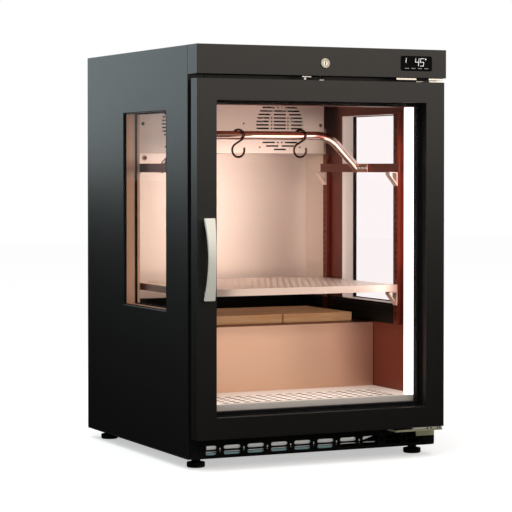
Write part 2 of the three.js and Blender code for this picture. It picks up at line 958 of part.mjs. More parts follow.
function handle() {
  const top = handle_bottom + handle_length;
  const middle = handle_bottom + handle_length / 2;
  const sagitta = handle_proud - handle_end_proud;
  const chord = handle_length / 2;
  const radius = (chord * chord + sagitta * sagitta) / (2 * sagitta);
  const centre_y = -handle_proud + radius;
  const sweep_angle = Math.asin(chord / radius);
  const arc = (r, from, to) => Array.from({ length: round_steps + 1 }, (_, i) => {
    const angle = from + (to - from) * (i / round_steps);
    return [centre_y - r * Math.cos(angle), middle + r * Math.sin(angle)];
  });
  const bow = outline([
    ...arc(radius, sweep_angle, -sweep_angle),
    ...arc(radius - handle_thickness, -sweep_angle, sweep_angle),
  ]);
  const strap = sidePlate(bow, handle_end_width, handle_x - handle_end_width / 2);
  const waist = (side) => Array.from({ length: small_steps + 1 }, (_, i) => {
    const share = i / small_steps;
    const narrow = (handle_end_width - handle_waist) / 2 * Math.sin(Math.PI * share);
    const z = side > 0 ? handle_bottom + share * handle_length : top - share * handle_length;
    return [handle_x + side * (handle_end_width / 2 - narrow), z];
  });
  const front_view = outline([...waist(1), ...waist(-1)]);
  const shaped = common(strap, facingPlate(front_view, handle_proud + overrun * 2,
    -handle_proud - overrun));
  const posts = [handle_bottom + handle_post_inset, top - handle_post_inset].map((z) =>
    backCylinder(handle_x, z, handle_post_radius,
      -handle_end_proud + handle_thickness / 2 - overrun / 2, -fit_gap, round_steps));
  return join(shaped, ...posts);
}

place("handle", handle(), bright_steel);

// Hinges: fixed brackets with pins at both ends of the door, and the bush plate under it

const hinge_right = door_right;
const lower_plate_top = door_bottom - fit_gap - door_plate_thickness - fit_gap * 2;
const upper_plate_bottom = canopy_bottom - fit_gap - hinge_plate;

function hingeBottomBracket() {
  const rear = kick_front - fit_gap;
  const plate = block(
    hinge_left, hinge_right, hinge_front, rear, lower_plate_top - hinge_plate, lower_plate_top,
  );
  const flange = block(
    hinge_flange_left, hinge_right, rear - hinge_flange, rear,
    lower_plate_top - hinge_plate - hinge_flange_drop, lower_plate_top,
  );
  const pin = upCylinder(
    pivot_x, pivot_y, pin_radius, lower_plate_top - hinge_plate / 2, door_bottom + pin_reach,
    round_steps,
  );
  return join(plate, flange, pin);
}

function hingeTopBracket() {
  const rear = front_zone - fit_gap;
  const plate = block(
    hinge_left, hinge_right, hinge_front, rear,
    upper_plate_bottom, upper_plate_bottom + hinge_plate,
  );
  const flange = block(
    hinge_flange_left, hinge_right, rear - hinge_flange, rear,
    upper_plate_bottom - hinge_flange_rise, upper_plate_bottom + hinge_plate,
  );
  const pin = upCylinder(
    pivot_x, pivot_y, pin_radius, door_top - pin_reach, upper_plate_bottom + hinge_plate / 2,
    round_steps,
  );
  return join(plate, flange, pin);
}

function hingeDoorPlate() {
  const plate = rectangle(
    door_plate_left, door_right - door_plate_right_gap, door_plate_front, door_plate_rear,
  );
  const hole = circlePoints(pivot_x, pivot_y, pin_radius + bush_clearance, round_steps);
  const bottom = door_bottom - fit_gap - door_plate_thickness;
  return pierced(flatPlate, plate, [hole], door_plate_thickness, bottom);
}

place("hinge_bottom_bracket", hingeBottomBracket(), bright_steel);
place("hinge_top_bracket", hingeTopBracket(), bright_steel);
place("hinge_door_plate", hingeDoorPlate(), bright_steel);

// Light bars at both sides of the mouth

for (const [label, side] of sides) {
  const [x0, x1] = between(side, light_inner, cavity_half - fit_gap);
  place(`light_bar_${label}`, block(
    x0, x1, light_front, light_front + light_depth, tray_top + fit_gap, header_bottom - fit_gap,
  ), light_white);
}

// Slotted uprights on the side walls

const upright_face = cavity_half - upright_depth;

function upright(side, y, top) {
  const bottom = upright_bottom;
  const count = Math.floor((top - bottom) / upright_slot_pitch);
  const first = (bottom + top) / 2 - ((count - 1) / 2) * upright_slot_pitch;
  const holes = Array.from({ length: count }, (_, i) =>
    slotAt(y, first + i * upright_slot_pitch, upright_slot_width, upright_slot_height));
  const y0 = y - upright_width / 2;
  const y1 = y + upright_width / 2;
  const [face_x] = between(side, upright_face, upright_face + upright_sheet);
  const [x0, x1] = between(side, upright_face, cavity_half - fit_gap);
  const [hollow0, hollow1] = between(side, upright_face + upright_sheet, cavity_half + overrun);
  return cut(
    block(x0, x1, y0, y1, bottom, top),
    block(
      hollow0, hollow1, y0 + upright_sheet, y1 - upright_sheet, bottom - overrun, top + overrun,
    ),
    holeCutters(sidePlate, holes, upright_sheet, face_x),
  );
}

const uprights = [
  ["front", front_upright, front_upright_top],
  ["rear", rear_upright, rear_upright_top],
];
for (const [label, side] of sides) {
  for (const [position, y, top] of uprights) {
    place(`upright_${position}_${label}`, upright(side, y, top), stainless);
  }
}

// A gusset that reaches inwards from an upright, with its top at the given height: a strap that is
// bent round into a hollow wedge

function gusset(side, y, top) {
  const wall_end = upright_face - fit_gap;
  const tip = cavity_half - bracket_reach;
  const slope = (bracket_drop - bracket_nose) / (wall_end - tip);
  const underside = (x) => top - bracket_nose - (x - tip) * slope;
  const wedge = [[wall_end, top], [wall_end, underside(wall_end)], [tip, underside(tip)], [tip, top]];
  const rise = bracket_strap * Math.hypot(1, slope);
  const [near, far] = [tip + bracket_strap, wall_end - bracket_strap];
  const hollow = [
    [far, top - bracket_strap], [far, underside(far) + rise],
    [near, underside(near) + rise], [near, top - bracket_strap],
  ];
  const onSide = (pairs) => pairs.map(([x, z]) => [side * x, z]);
  return pierced(facingPlate, onSide(wedge), [onSide(hollow)], bracket_width, y - bracket_width / 2);
}

// Side rails of the hanging frame, each with its two welded gussets

function sideRail(side) {
  const [x0, x1] = between(side, rail_x - rail_thickness, rail_x);
  const bar = block(x0, x1, rail_front, rail_rear, rail_bottom, rail_bottom + rail_height);
  const gussets = uprights.map(([, y]) => gusset(side, y, rail_bottom + rail_seat));
  return join(bar, ...gussets);
}

for (const [label, side] of sides) place(`side_rail_${label}`, sideRail(side), stainless);

// Shelf brackets and the slotted shelf

const shelf_bottom = shelf_top - shelf_lip;
for (const [label, side] of sides) {
  for (const [position, y] of uprights) {
    const bracket = gusset(side, y, shelf_bottom - fit_gap);
    place(`shelf_bracket_${position}_${label}`, bracket, stainless);
  }
}

// Rows of slots that step half a pitch sideways from row to row
function slotField(x_half, y0, y1, length, width, pitch, rows, margin) {
  const holes = [];
  for (let row = 0; row < rows; row += 1) {
    const y = y0 + margin + (row / (rows - 1)) * (y1 - y0 - 2 * margin);
    const shift = row % 2 === 0 ? 0 : pitch / 2;
    const count = Math.floor((x_half * 2 - 2 * margin - shift * 2) / pitch) + 1;
    for (let i = 0; i < count; i += 1) {
      const x = (i - (count - 1) / 2) * pitch;
      holes.push(slotAt(x, y, length, width));
    }
  }
  return holes;
}

function shelf() {
  const holes = slotField(
    shelf_half, shelf_front, shelf_rear, shelf_slot_length, shelf_slot_width,
    shelf_slot_pitch, shelf_slot_rows, shelf_slot_margin,
  );
  return cut(
    block(-shelf_half, shelf_half, shelf_front, shelf_rear, shelf_bottom, shelf_top),
    block(
      -shelf_half + shelf_sheet, shelf_half - shelf_sheet,
      shelf_front + shelf_sheet, shelf_rear - shelf_sheet,
      shelf_bottom - overrun, shelf_top - shelf_sheet,
    ),
    holeCutters(flatPlate, holes, shelf_sheet, shelf_top - shelf_sheet),
  );
}

place("shelf", shelf(), stainless);

// Floor tray

function floorTray() {
  const x_half = cavity_half - fit_gap;
  const y0 = front_zone;
  const y1 = hump_front - fit_gap;
  const holes = slotField(
    x_half, y0, y1, tray_slot_length, tray_slot_width,
    tray_slot_pitch, tray_slot_rows, tray_slot_margin,
  );
  const bottom = floor_height + fit_gap;
  return cut(
    block(-x_half, x_half, y0, y1, bottom, tray_top),
    block(
      -x_half - overrun, x_half + overrun, y0 + tray_sheet, y1 - tray_sheet,
      bottom - overrun, tray_top - tray_sheet,
    ),
    holeCutters(flatPlate, holes, tray_sheet, tray_top - tray_sheet),
  );
}

place("floor_tray", floorTray(), stainless);

// Hanging bar: a tube bent down at both ends and coped to its end flanges

function hangingBar() {
  const angle = THREE.MathUtils.degToRad(bar_bend_degrees);
  const bend = (side) => Array.from({ length: bend_steps + 1 }, (_, i) => {
    const turn = angle * (i / bend_steps);
    return new THREE.Vector3(
      side * (bar_bend_start + bar_bend_radius * Math.sin(turn)), bar_y,
      bar_height - bar_bend_radius * (1 - Math.cos(turn)),
    );
  });
  const tail = flange_outer + bar_radius * 2 - bar_bend_start - bar_bend_radius * Math.sin(angle);
  const tail_end = (side) => {
    const last = bend(side)[bend_steps];
    return last.clone().add(new THREE.Vector3(side * tail, 0, -tail * Math.tan(angle)));
  };
  const line = [tail_end(-1), ...bend(-1).reverse(), ...bend(1), tail_end(1)];
  const tube = roundBar(line, new THREE.Vector3(0, 1, 0), bar_radius, tube_sides);
  const rail_top = rail_bottom + rail_height;
  const keep = block(
    -flange_outer, flange_outer, bar_y - bar_radius * 2, bar_y + bar_radius * 2,
    rail_bottom, bar_height + bar_radius * 2,
  );
  const flanges = sides.map(([, side]) => {
    const [x0, x1] = between(side, flange_outer - bar_flange_thickness, flange_outer);
    return block(
      x0, x1, bar_y - bar_flange_front, bar_y + bar_flange_rear, rail_bottom, rail_top,
    );
  });
  const bolts = sides.flatMap(([, side]) => Array.from({ length: bar_bolt_count }, (_, i) => {
    const head = new THREE.CylinderGeometry(
      bar_bolt_radius, bar_bolt_radius, bar_bolt_height + bar_flange_thickness / 2, bolt_sides,
    );
    head.rotateZ(Math.PI / 2);
    const y = bar_y - bar_radius - bar_bolt_pitch / 2 - i * bar_bolt_pitch;
    const inner = flange_outer - bar_flange_thickness - bar_bolt_height / 2;
    head.translate(side * (inner + bar_flange_thickness / 4), y, rail_bottom + rail_height / 2);
    return head;
  }));
  return join(common(tube, keep), ...flanges, ...bolts);
}

place("hanging_bar", hangingBar(), bright_steel);

// S-hooks on the bar, turned a little, so the upper loop is an ellipse round the tube

function sHook(x) {
  const turn = THREE.MathUtils.degToRad(hook_turn_degrees);
  const rise = bar_radius + hook_wire + hook_clearance;
  const width = bar_radius / Math.cos(turn) + hook_wire + hook_clearance;
  const degrees = (from, to) => Array.from({ length: small_steps + 1 }, (_, i) =>
    THREE.MathUtils.degToRad(from + (to - from) * (i / small_steps)));
  const loop = degrees(hook_loop_start_degrees, hook_loop_end_degrees).map((angle) =>
    [width * Math.cos(angle), rise * Math.sin(angle)]);
  const bowl = degrees(hook_bowl_start_degrees, hook_bowl_end_degrees).map((angle) =>
    [hook_bowl_radius * Math.cos(angle), -hook_bowl_drop + hook_bowl_radius * Math.sin(angle)]);
  const line = [...loop, ...bowl].map(([u, z]) =>
    new THREE.Vector3(x + u * Math.sin(turn), bar_y - u * Math.cos(turn), bar_height + z));
  const across = new THREE.Vector3(Math.cos(turn), Math.sin(turn), 0);
  return roundBar(line, across, hook_wire, wire_sides);
}

hook_shares.forEach((share, index) =>
  place(`s_hook_${index + 1}`, sHook(share * bar_bend_start), bright_steel));

// Two boards that lie on the hump

for (const index of [0, 1]) {
  const left = board_left + index * (board_width + board_gap);
  const plan = outline(roundedRectangle(
    left, left + board_width, board_front, board_front + board_depth, board_corner,
  ));
  place(`board_${index + 1}`, flatPlate(plan, board_thickness, hump_height + fit_gap), pale_wood);
}

// Evaporator cover: a folded box with two slotted grilles, and the square fan frames inside it

const fan_places = [fan_side_gap - cover_half, cover_half - fan_side_gap];
const fan_frame_front = cover_front + cover_sheet;
const fan_frame_rear = fan_frame_front + fan_frame_depth;

function grilleHoles(x) {
  const holes = [];
  const step = grille_slot_length + grille_bridge;
  for (let row = 0; row < grille_rows; row += 1) {
    const z = (row - (grille_rows - 1) / 2) * grille_pitch;
    const chord = Math.sqrt(Math.max(grille_radius * grille_radius - z * z, 0)) * 2;
    const count = Math.max(Math.round(chord / step), 1);
    for (let i = 0; i < count; i += 1) {
      const shift = (i - (count - 1) / 2) * step;
      holes.push(slotAt(x + shift, fan_height + z, grille_slot_length, grille_slot_height));
    }
  }
  return holes;
}

function fanFrame(x) {
  const half = fan_frame_size / 2;
  const frame = rectangle(x - half, x + half, fan_height - half, fan_height + half);
  const bore = circlePoints(x, fan_height, fan_bore_radius, round_steps);
  const housing = pierced(
    facingPlate, frame, [bore], fan_frame_depth + fit_gap, fan_frame_front - fit_gap,
  );
  const motor_front = fan_frame_front + fan_tip_clearance + fan_hub_depth + fit_gap;
  const motor = backCylinder(
    x, fan_height, fan_motor_radius, motor_front, fan_frame_rear, small_steps,
  );
  const strut_y = fan_frame_rear - fan_strut_depth;
  const reach = (fan_bore_radius + half) / 2;
  const struts = [
    block(x - reach, x + reach, strut_y, fan_frame_rear,
      fan_height - fan_strut_width / 2, fan_height + fan_strut_width / 2),
    block(x - fan_strut_width / 2, x + fan_strut_width / 2, strut_y, fan_frame_rear,
      fan_height - reach, fan_height + reach),
  ];
  return join(housing, motor, ...struts);
}

function evaporatorCover() {
  const top = ceiling_height - fit_gap;
  const rear = cavity_rear - fit_gap;
  const corner_holes = [-1, 1].map((side) => circlePoints(
    side * (cover_half - cover_hole_inset), fan_height, cover_hole_radius, small_steps,
  ));
  const holes = [...fan_places.flatMap(grilleHoles), ...corner_holes];
  const box = cut(
    block(-cover_half, cover_half, cover_front, rear, cover_bottom, top),
    block(
      -cover_half + cover_sheet, cover_half - cover_sheet, cover_front + cover_sheet,
      rear + overrun, cover_bottom + cover_sheet, top + overrun,
    ),
    holeCutters(facingPlate, holes, cover_sheet, cover_front),
  );
  return join(box, ...fan_places.map(fanFrame));
}

place("evaporator_cover", evaporatorCover(), stainless);

// A fan rotor about the y axis: a hub cup and twisted blades

function fanBlade(root, tip, chord) {
  const length = tip - root;
  const blade = new THREE.BoxGeometry(chord, fan_blade_thickness, length, 1, 1, blade_steps);
  const position = blade.attributes.position;
  const start = new THREE.Vector3();
  for (let i = 0; i < position.count; i += 1) {
    start.fromBufferAttribute(position, i);
    const share = start.z / length + 1 / 2;
    const degrees = fan_root_degrees + (fan_tip_degrees - fan_root_degrees) * share;
    start.applyAxisAngle(new THREE.Vector3(0, 0, 1), THREE.MathUtils.degToRad(degrees));
    position.setXYZ(i, start.x, start.y, start.z + (root + tip) / 2);
  }
  return blade;
}

function rotor(x, y, z, hub_radius, hub_depth, tip, chord, count) {
  const hub = backCylinder(0, 0, hub_radius, -hub_depth / 2, hub_depth / 2, coarse_steps);
  const root = hub_radius - fan_blade_thickness * 2;
  const straight_tip = Math.sqrt(tip * tip - (chord / 2) * (chord / 2));
  const blades = Array.from({ length: count }, (_, i) => {
    const blade = fanBlade(root, straight_tip, chord);
    blade.rotateY((i / count) * 2 * Math.PI);
    return blade;
  });
  const whole = toGeometry(join(hub, ...blades));
  whole.translate(x, y, z);
  return whole;
}

const rotor_y = fan_frame_front + fan_tip_clearance + fan_hub_depth / 2;
fan_places.forEach((x, index) => {
  const label = sides[index][0];
  place(`evaporator_fan_${label}`, rotor(
    x, rotor_y, fan_height, fan_hub_radius, fan_hub_depth,
    fan_bore_radius - fan_tip_clearance, fan_blade_chord, fan_blade_count,
  ), black_plastic);
});

// A finned coil: fins stand on a web, drawn as a comb seen from above

function finnedBlock(x0, x1, y0, y1, web, count, fin_share, z0, z1) {
  const pitch = (x1 - x0) / (count - 1 + fin_share);
  const fin = pitch * fin_share;
  const comb = [[x0, y0]];
  for (let i = 0; i < count; i += 1) {
    const x = x0 + i * pitch;
    if (i > 0) comb.push([x, y1 - web], [x, y0]);
    comb.push([x + fin, y0]);
    if (i < count - 1) comb.push([x + fin, y1 - web]);
  }
  comb.push([x1, y1], [x0, y1]);
  return flatPlate(outline(comb), z1 - z0, z0);
}

place("evaporator_coil", finnedBlock(
  -coil_half, coil_half, fan_frame_rear + coil_gap, fan_frame_rear + coil_gap + coil_depth,
  coil_web, coil_fins, coil_fin_share,
  cover_bottom + cover_sheet + fit_gap, ceiling_height - coil_rise,
), galvanised);

// Machine bay: compressor on the pan, condenser with its shroud and fan

function compressor() {
  const foot_z = base_sheet + fit_gap;
  const body_z = foot_z + compressor_foot;
  const top = foot_z + compressor_height;
  const dome = compressor_radius / 3;
  const can = turned([
    [0, body_z], [compressor_radius - dome / 2, body_z], [compressor_radius, body_z + dome / 2],
    [compressor_radius, top - dome], [compressor_radius - dome / 4, top - dome / 2],
    [compressor_radius - dome, top - dome / 8], [0, top],
  ], round_steps);
  can.translate(compressor_x, compressor_y, 0);
  const half = compressor_pitch / 2 + compressor_stand / 2;
  const plate = block(
    compressor_x - half, compressor_x + half, compressor_y - half, compressor_y + half,
    body_z, body_z + base_sheet,
  );
  const mounts = [-1, 1].flatMap((a) => [-1, 1].map((b) => upCylinder(
    compressor_x + a * compressor_pitch / 2, compressor_y + b * compressor_pitch / 2,
    compressor_stand / 2, foot_z, body_z + base_sheet / 2, small_steps,
  )));
  return join(can, plate, ...mounts);
}

place("compressor", compressor(), black_paint);

const condenser_rear = condenser_front + condenser_depth;
const condenser_base = base_sheet + fit_gap;
const condenser_height = machine_height - condenser_top_gap - condenser_base;
const condenser_fan_radius = condenser_height / 2 - condenser_fan_margin;
const condenser_motor_end = condenser_rear + fan_tip_clearance;
const condenser_fan_z = condenser_base + condenser_height / 2;

function condenser() {
  const left = condenser_x - condenser_half;
  const right = condenser_x + condenser_half;
  const top = condenser_base + condenser_height;
  const coil = finnedBlock(
    left, right, condenser_front, condenser_rear, condenser_web,
    condenser_fins, condenser_fin_share, condenser_base, top,
  );
  const shroud_front = condenser_rear - condenser_web / 2;
  const bore = circlePoints(
    condenser_x, condenser_fan_z, condenser_fan_radius + fan_tip_clearance, round_steps,
  );
  const ring = pierced(
    facingPlate, rectangle(left, right, condenser_base, top), [bore],
    condenser_rear + condenser_shroud_depth - shroud_front, shroud_front,
  );
  const motor = backCylinder(
    condenser_x, condenser_fan_z, condenser_hub_radius / 2, shroud_front,
    condenser_motor_end, small_steps,
  );
  return join(coil, ring, motor);
}

place("condenser", condenser(), galvanised);
place("condenser_fan", rotor(
  condenser_x, condenser_motor_end + fit_gap + condenser_hub_depth / 2, condenser_fan_z,
  condenser_hub_radius, condenser_hub_depth, condenser_fan_radius,
  condenser_blade_chord, condenser_blade_count,
), black_plastic);

// Screw feet: a rubber-edged pad, a nut and a stem up to the base pan

function foot(x, y) {
  const pad_top = -foot_height + foot_pad_height;
  const geometry = turned([
    [0, -foot_height], [foot_radius - foot_edge, -foot_height],
    [foot_radius, -foot_height + foot_edge], [foot_radius, pad_top - foot_edge],
    [foot_nut_radius, pad_top],
    [foot_nut_radius, pad_top + foot_nut_height], [foot_stem_radius, pad_top + foot_nut_height],
    [foot_stem_radius, -fit_gap], [0, -fit_gap],
  ], coarse_steps);
  geometry.translate(x, y, 0);
  return geometry;
}

for (const [label, side] of sides) {
  place(`foot_front_${label}`, foot(side * foot_x, foot_front), black_plastic);
  place(`foot_rear_${label}`, foot(side * foot_x, foot_rear), black_plastic);
}

export default cabinet;
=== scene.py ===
# %% [markdown]
# # A glass-door dry aging cabinet
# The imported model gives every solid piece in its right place. This notebook gives those
# pieces their finishes and remodels the ones whose edges, slots and round forms should look
# finer. It starts by loading that model, because every new piece is placed from it.

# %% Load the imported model
import json
import math

import bmesh
import bpy
from mathutils import Matrix, Vector

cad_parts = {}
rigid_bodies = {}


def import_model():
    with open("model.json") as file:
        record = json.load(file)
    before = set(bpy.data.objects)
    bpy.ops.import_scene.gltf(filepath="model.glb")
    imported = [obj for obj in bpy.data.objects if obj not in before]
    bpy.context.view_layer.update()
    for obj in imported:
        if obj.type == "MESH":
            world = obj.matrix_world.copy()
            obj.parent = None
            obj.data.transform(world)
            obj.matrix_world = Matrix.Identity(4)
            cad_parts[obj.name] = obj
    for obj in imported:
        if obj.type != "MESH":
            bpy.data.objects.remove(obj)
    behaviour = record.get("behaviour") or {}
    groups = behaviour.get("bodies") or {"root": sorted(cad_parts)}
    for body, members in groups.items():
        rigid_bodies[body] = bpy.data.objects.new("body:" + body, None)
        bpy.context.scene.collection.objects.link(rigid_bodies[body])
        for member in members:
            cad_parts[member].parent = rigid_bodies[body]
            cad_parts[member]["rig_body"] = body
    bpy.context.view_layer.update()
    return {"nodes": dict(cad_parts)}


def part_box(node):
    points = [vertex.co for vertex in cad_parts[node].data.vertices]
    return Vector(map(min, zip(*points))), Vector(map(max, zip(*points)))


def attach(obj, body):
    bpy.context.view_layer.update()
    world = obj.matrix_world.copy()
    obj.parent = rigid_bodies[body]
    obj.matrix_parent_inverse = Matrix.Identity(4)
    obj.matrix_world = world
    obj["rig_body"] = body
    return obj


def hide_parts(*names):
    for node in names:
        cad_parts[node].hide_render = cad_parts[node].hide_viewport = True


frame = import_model()
scene = bpy.context.scene
scene.view_settings.view_transform = "Standard"

# %% [markdown]
# A cabinet maker measures across from the middle, back from the face of the door and up from
# the bottom of the case, in millimetres. The same way of counting is kept here, and one
# function turns it into Blender's metres.

# %% Measures
MM = 0.001
DOOR_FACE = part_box("door_frame")[0].y
CASE_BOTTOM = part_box("base_pan")[0].z


def at(x, y, z):
    return Vector((x * MM, y * MM + DOOR_FACE, z * MM + CASE_BOTTOM))


def measured(node):
    """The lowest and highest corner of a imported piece, in the maker's millimetres."""
    low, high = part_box(node)
    shift = Vector((0, DOOR_FACE, CASE_BOTTOM))
    return (low - shift) / MM, (high - shift) / MM


print("door face to the back of the case:", round(measured("base_pan")[1].y), "mm")

# %% [markdown]
# The photograph was taken with a long lens, from the left and just above the middle of the
# cabinet. The verticals stay parallel, so the picture is shifted and the camera is almost level.

# %% Camera
CAMERA_PLACE = (-2.0044, -4.2315, 0.6415)
CAMERA_YAW = 25.15
CAMERA_PITCH = -1.19
CAMERA_LENS = 144.03
SENSOR_WIDTH = 36
CAMERA_SHIFT = -0.091
camera_data = bpy.data.cameras.new("camera")
camera_data.lens = CAMERA_LENS
camera_data.sensor_width = SENSOR_WIDTH
camera_data.shift_y = CAMERA_SHIFT
camera = bpy.data.objects.new("camera", camera_data)
camera.location = CAMERA_PLACE
camera.rotation_euler = [math.radians(a) for a in (90 + CAMERA_PITCH, 0, -CAMERA_YAW)]
scene.collection.objects.link(camera)
scene.camera = camera
print("camera distance:", round(camera.location.length, 2), "m")

# %% [markdown]
# Every finish below is a small node tree. A few helpers keep them short: one turns the hex
# colour of a paint card into the linear numbers that Blender works with, one adds a node with
# its settings and links, and one starts a finish.

# %% Colours and nodes


def linear(hex_colour):
    parts = [int(hex_colour[i:i + 2], 16) / 255 for i in (1, 3, 5)]
    return [p / 12.92 if p <= 0.04045 else ((p + 0.055) / 1.055) ** 2.4 for p in parts] + [1]


def add(tree, kind, inputs=None, **settings):
    node = tree.nodes.new(kind)
    for name, value in settings.items():
        setattr(node, name, value)
    for key, value in (inputs or {}).items():
        if isinstance(value, bpy.types.NodeSocket):
            tree.links.new(value, node.inputs[key])
        else:
            node.inputs[key].default_value = value
    return node


def new_finish(name, **surface):
    """A material with one Principled shader, and a point on the piece to hang patterns on."""
    material = bpy.data.materials.new(name)
    material.use_nodes = True
    tree = material.node_tree
    shader = tree.nodes["Principled BSDF"]
    for key, value in surface.items():
        shader.inputs[key.replace("_", " ").title().replace("Ior", "IOR")].default_value = value
    point = add(tree, "ShaderNodeTexCoord").outputs["Object"]
    print("finish:", name)
    return material, tree, shader, point


# %% [markdown]
# No real surface is even, so most finishes share a few patterns. Noise gives the grain, a map
# range gives its limits, and the result drives colour, roughness and a shallow bump.

# %% Patterns


def grain(tree, point, size_mm, stretch=(1, 1, 1), detail=2):
    """Noise whose features measure size_mm, stretched along the axes with small factors."""
    scaled = add(tree, "ShaderNodeMapping", {"Vector": point, "Scale": stretch})
    return add(tree, "ShaderNodeTexNoise", {
        "Vector": scaled.outputs["Vector"], "Scale": 1 / (size_mm * MM), "Detail": detail,
    }).outputs["Fac"]


def spread(tree, value, low, high):
    """Turns a 0 to 1 pattern into one that runs from low to high."""
    return add(tree, "ShaderNodeMapRange", {
        "Value": value, "From Min": 0.3, "From Max": 0.7, "To Min": low, "To Max": high,
    }).outputs["Result"]


def blend_of(tree, factor, first, second):
    """Mixes two colours; a Mix node keeps its colours in sockets 6 and 7 and its result in 2."""
    return add(tree, "ShaderNodeMix", {0: factor, 6: first, 7: second},
               data_type="RGBA").outputs[2]


def coat(tree, shader, colour, roughness):
    """Lets two patterns drive the shader's colour and its roughness."""
    tree.links.new(colour, shader.inputs["Base Color"])
    tree.links.new(roughness, shader.inputs["Roughness"])


def bump(tree, shader, height, depth_mm, strength=0.5):
    """Lets a pattern tilt the surface a little, as if it had this depth."""
    node = add(tree, "ShaderNodeBump", {
        "Height": height, "Distance": depth_mm * MM, "Strength": strength,
    })
    tree.links.new(node.outputs["Normal"], shader.inputs["Normal"])


# %% [markdown]
# **Powder coat.** The case, the canopy and the door are steel sheet with a baked satin black
# powder coat. The powder melts into a skin with a faint orange peel about two millimetres
# across, so the gloss breaks up softly along the reflections.

# %% Satin black powder coat
PEEL_MM = 2.2
CLOUD_MM = 140


def powder_coat(name, colour, cloudy, roughness):
    material, tree, shader, point = new_finish(name, specular_ior_level=0.5)
    peel = grain(tree, point, PEEL_MM)
    cloud = grain(tree, point, CLOUD_MM)
    coat(tree, shader, blend_of(tree, cloud, linear(colour), linear(cloudy)),
         spread(tree, peel, roughness - 0.03, roughness + 0.04))
    bump(tree, shader, peel, 0.03)
    return material


black_coat = powder_coat("satin_black_powder_coat", "#0d0c0a", "#11100e", 0.42)

# %% [markdown]
# **Plastic and rubber.** The grilles, the fan frames and the feet are black ABS and polyamide
# from a sparked mould: matt, with a fine grain. The controller has a gloss front of black
# acrylic, which mirrors very little. Seals and hoses are extruded, the white lining of the
# window is moulded, and the baffle is foam. All of them differ only in colour, in gloss and in
# the size of their grain, so one function makes them. Black ones fade a little in clouds.

# %% Plastics and rubbers
FADED_MM = 60
FADING = 1.25


def moulded_plastic(name, colour, roughness, grain_mm=0.8, specular=0.12):
    material, tree, shader, point = new_finish(name, specular_ior_level=specular)
    sparks = grain(tree, point, grain_mm)
    fresh = linear(colour)
    faded = [FADING * part if part < 0.5 else part for part in fresh[:3]] + [1]
    coat(tree, shader, blend_of(tree, grain(tree, point, FADED_MM), fresh, faded),
         spread(tree, sparks, roughness - 0.05, roughness + 0.05))
    bump(tree, shader, sparks, 0.01)
    return material


black_plastic = moulded_plastic("moulded_black_abs", "#0b0b0a", 0.5)
gloss_acrylic = moulded_plastic("gloss_black_acrylic", "#040404", 0.14, grain_mm=3, specular=0.03)
white_trim = moulded_plastic("moulded_white_abs", "#efe6e0", 0.45, grain_mm=1.5, specular=0.3)
gasket_rubber = moulded_plastic("extruded_black_epdm", "#0e0e0e", 0.68, grain_mm=1.2)
teal_hose = moulded_plastic("extruded_teal_pvc", "#8fb4ba", 0.3, grain_mm=1.5, specular=0.4)
white_foam = moulded_plastic("moulded_white_foam", "#f6f6f4", 0.7, grain_mm=3, specular=0.2)

# %% [markdown]
# **Stainless steel.** The liner, shelf, uprights and evaporator cover are fine brushed sheet.
# Brushing leaves long scratches about a quarter of a millimetre wide, drawn here at twice that
# so that they show. They run along the sheet: sideways on most of it, and front to back on the
# side walls, which the surface's own normal tells apart. The rosy colour of the stainless sheet
# is painted light: it stands for the rosy light of the cabinet's lamps, which the walls pass on
# to each other. The sheet comes in lit and shaded copies of that colour: a dark painted-shade copy
# on the side walls, a warm painted-light copy on the front of the hump and a pale painted-light
# copy on the sheets at the back. The other metals are brushed or drawn too and
# share the function. Those that look matt, such as the rolled tray and the plated handle,
# mirror less, so their metallic value is lower.

# %% Brushed metals


def brushed_steel(name, colour, shade, roughness, scratch_mm=0.5, metallic=1.0):
    material, tree, shader, point = new_finish(name, metallic=metallic)
    sideways = grain(tree, point, scratch_mm, stretch=(0.01, 1, 1), detail=3)
    backwards = grain(tree, point, scratch_mm, stretch=(1, 0.01, 1), detail=3)
    normal = add(tree, "ShaderNodeNewGeometry").outputs["True Normal"]
    across = add(tree, "ShaderNodeSeparateXYZ", {"Vector": normal}).outputs["X"]
    faces_side = add(tree, "ShaderNodeMath", {0: across}, operation="ABSOLUTE").outputs[0]
    scratches = blend_of(tree, faces_side, sideways, backwards)
    coat(tree, shader, blend_of(tree, scratches, linear(shade), linear(colour)),
         spread(tree, scratches, roughness - 0.05, roughness + 0.06))
    bump(tree, shader, scratches, 0.02, strength=0.3)
    return material


# Painted rosy light: the base tint of the stainless sheet stands for the lamps' rosy light.
rosy_stainless = brushed_steel("rosy_light_painted_steel", "#c8967c", "#b8846c", 0.38)
# Painted shade: a darker copy of the rosy steel, for the side walls, rails and uprights.
deep_stainless = brushed_steel("shaded_stainless_sheet", "#87493b", "#773e32", 0.36)
# Painted light: a lighter, warm copy of the rosy steel, for faces that face the lamps.
warm_stainless = brushed_steel("warm_stainless_sheet", "#dcbca4", "#cda88f", 0.42)
# Painted light: a pale copy of the rosy steel, for the back sheet, cover, shelf and gussets.
pale_stainless = brushed_steel("pale_sheet_in_painted_light", "#f4e8de", "#e8d8cc", 0.42)
bright_steel = brushed_steel("bright_satin_steel", "#d9d8d3", "#c4c3bd", 0.24)
tray_steel = brushed_steel("rolled_tray_stainless", "#f2f1ea", "#dfdfd8", 0.5, metallic=0.0)
# The tube's pink tint is a painted reflection of the rosy interior.
polished_tube = brushed_steel("polished_stainless_tube", "#d9bfb4", "#c6aaa0", 0.07, scratch_mm=1)
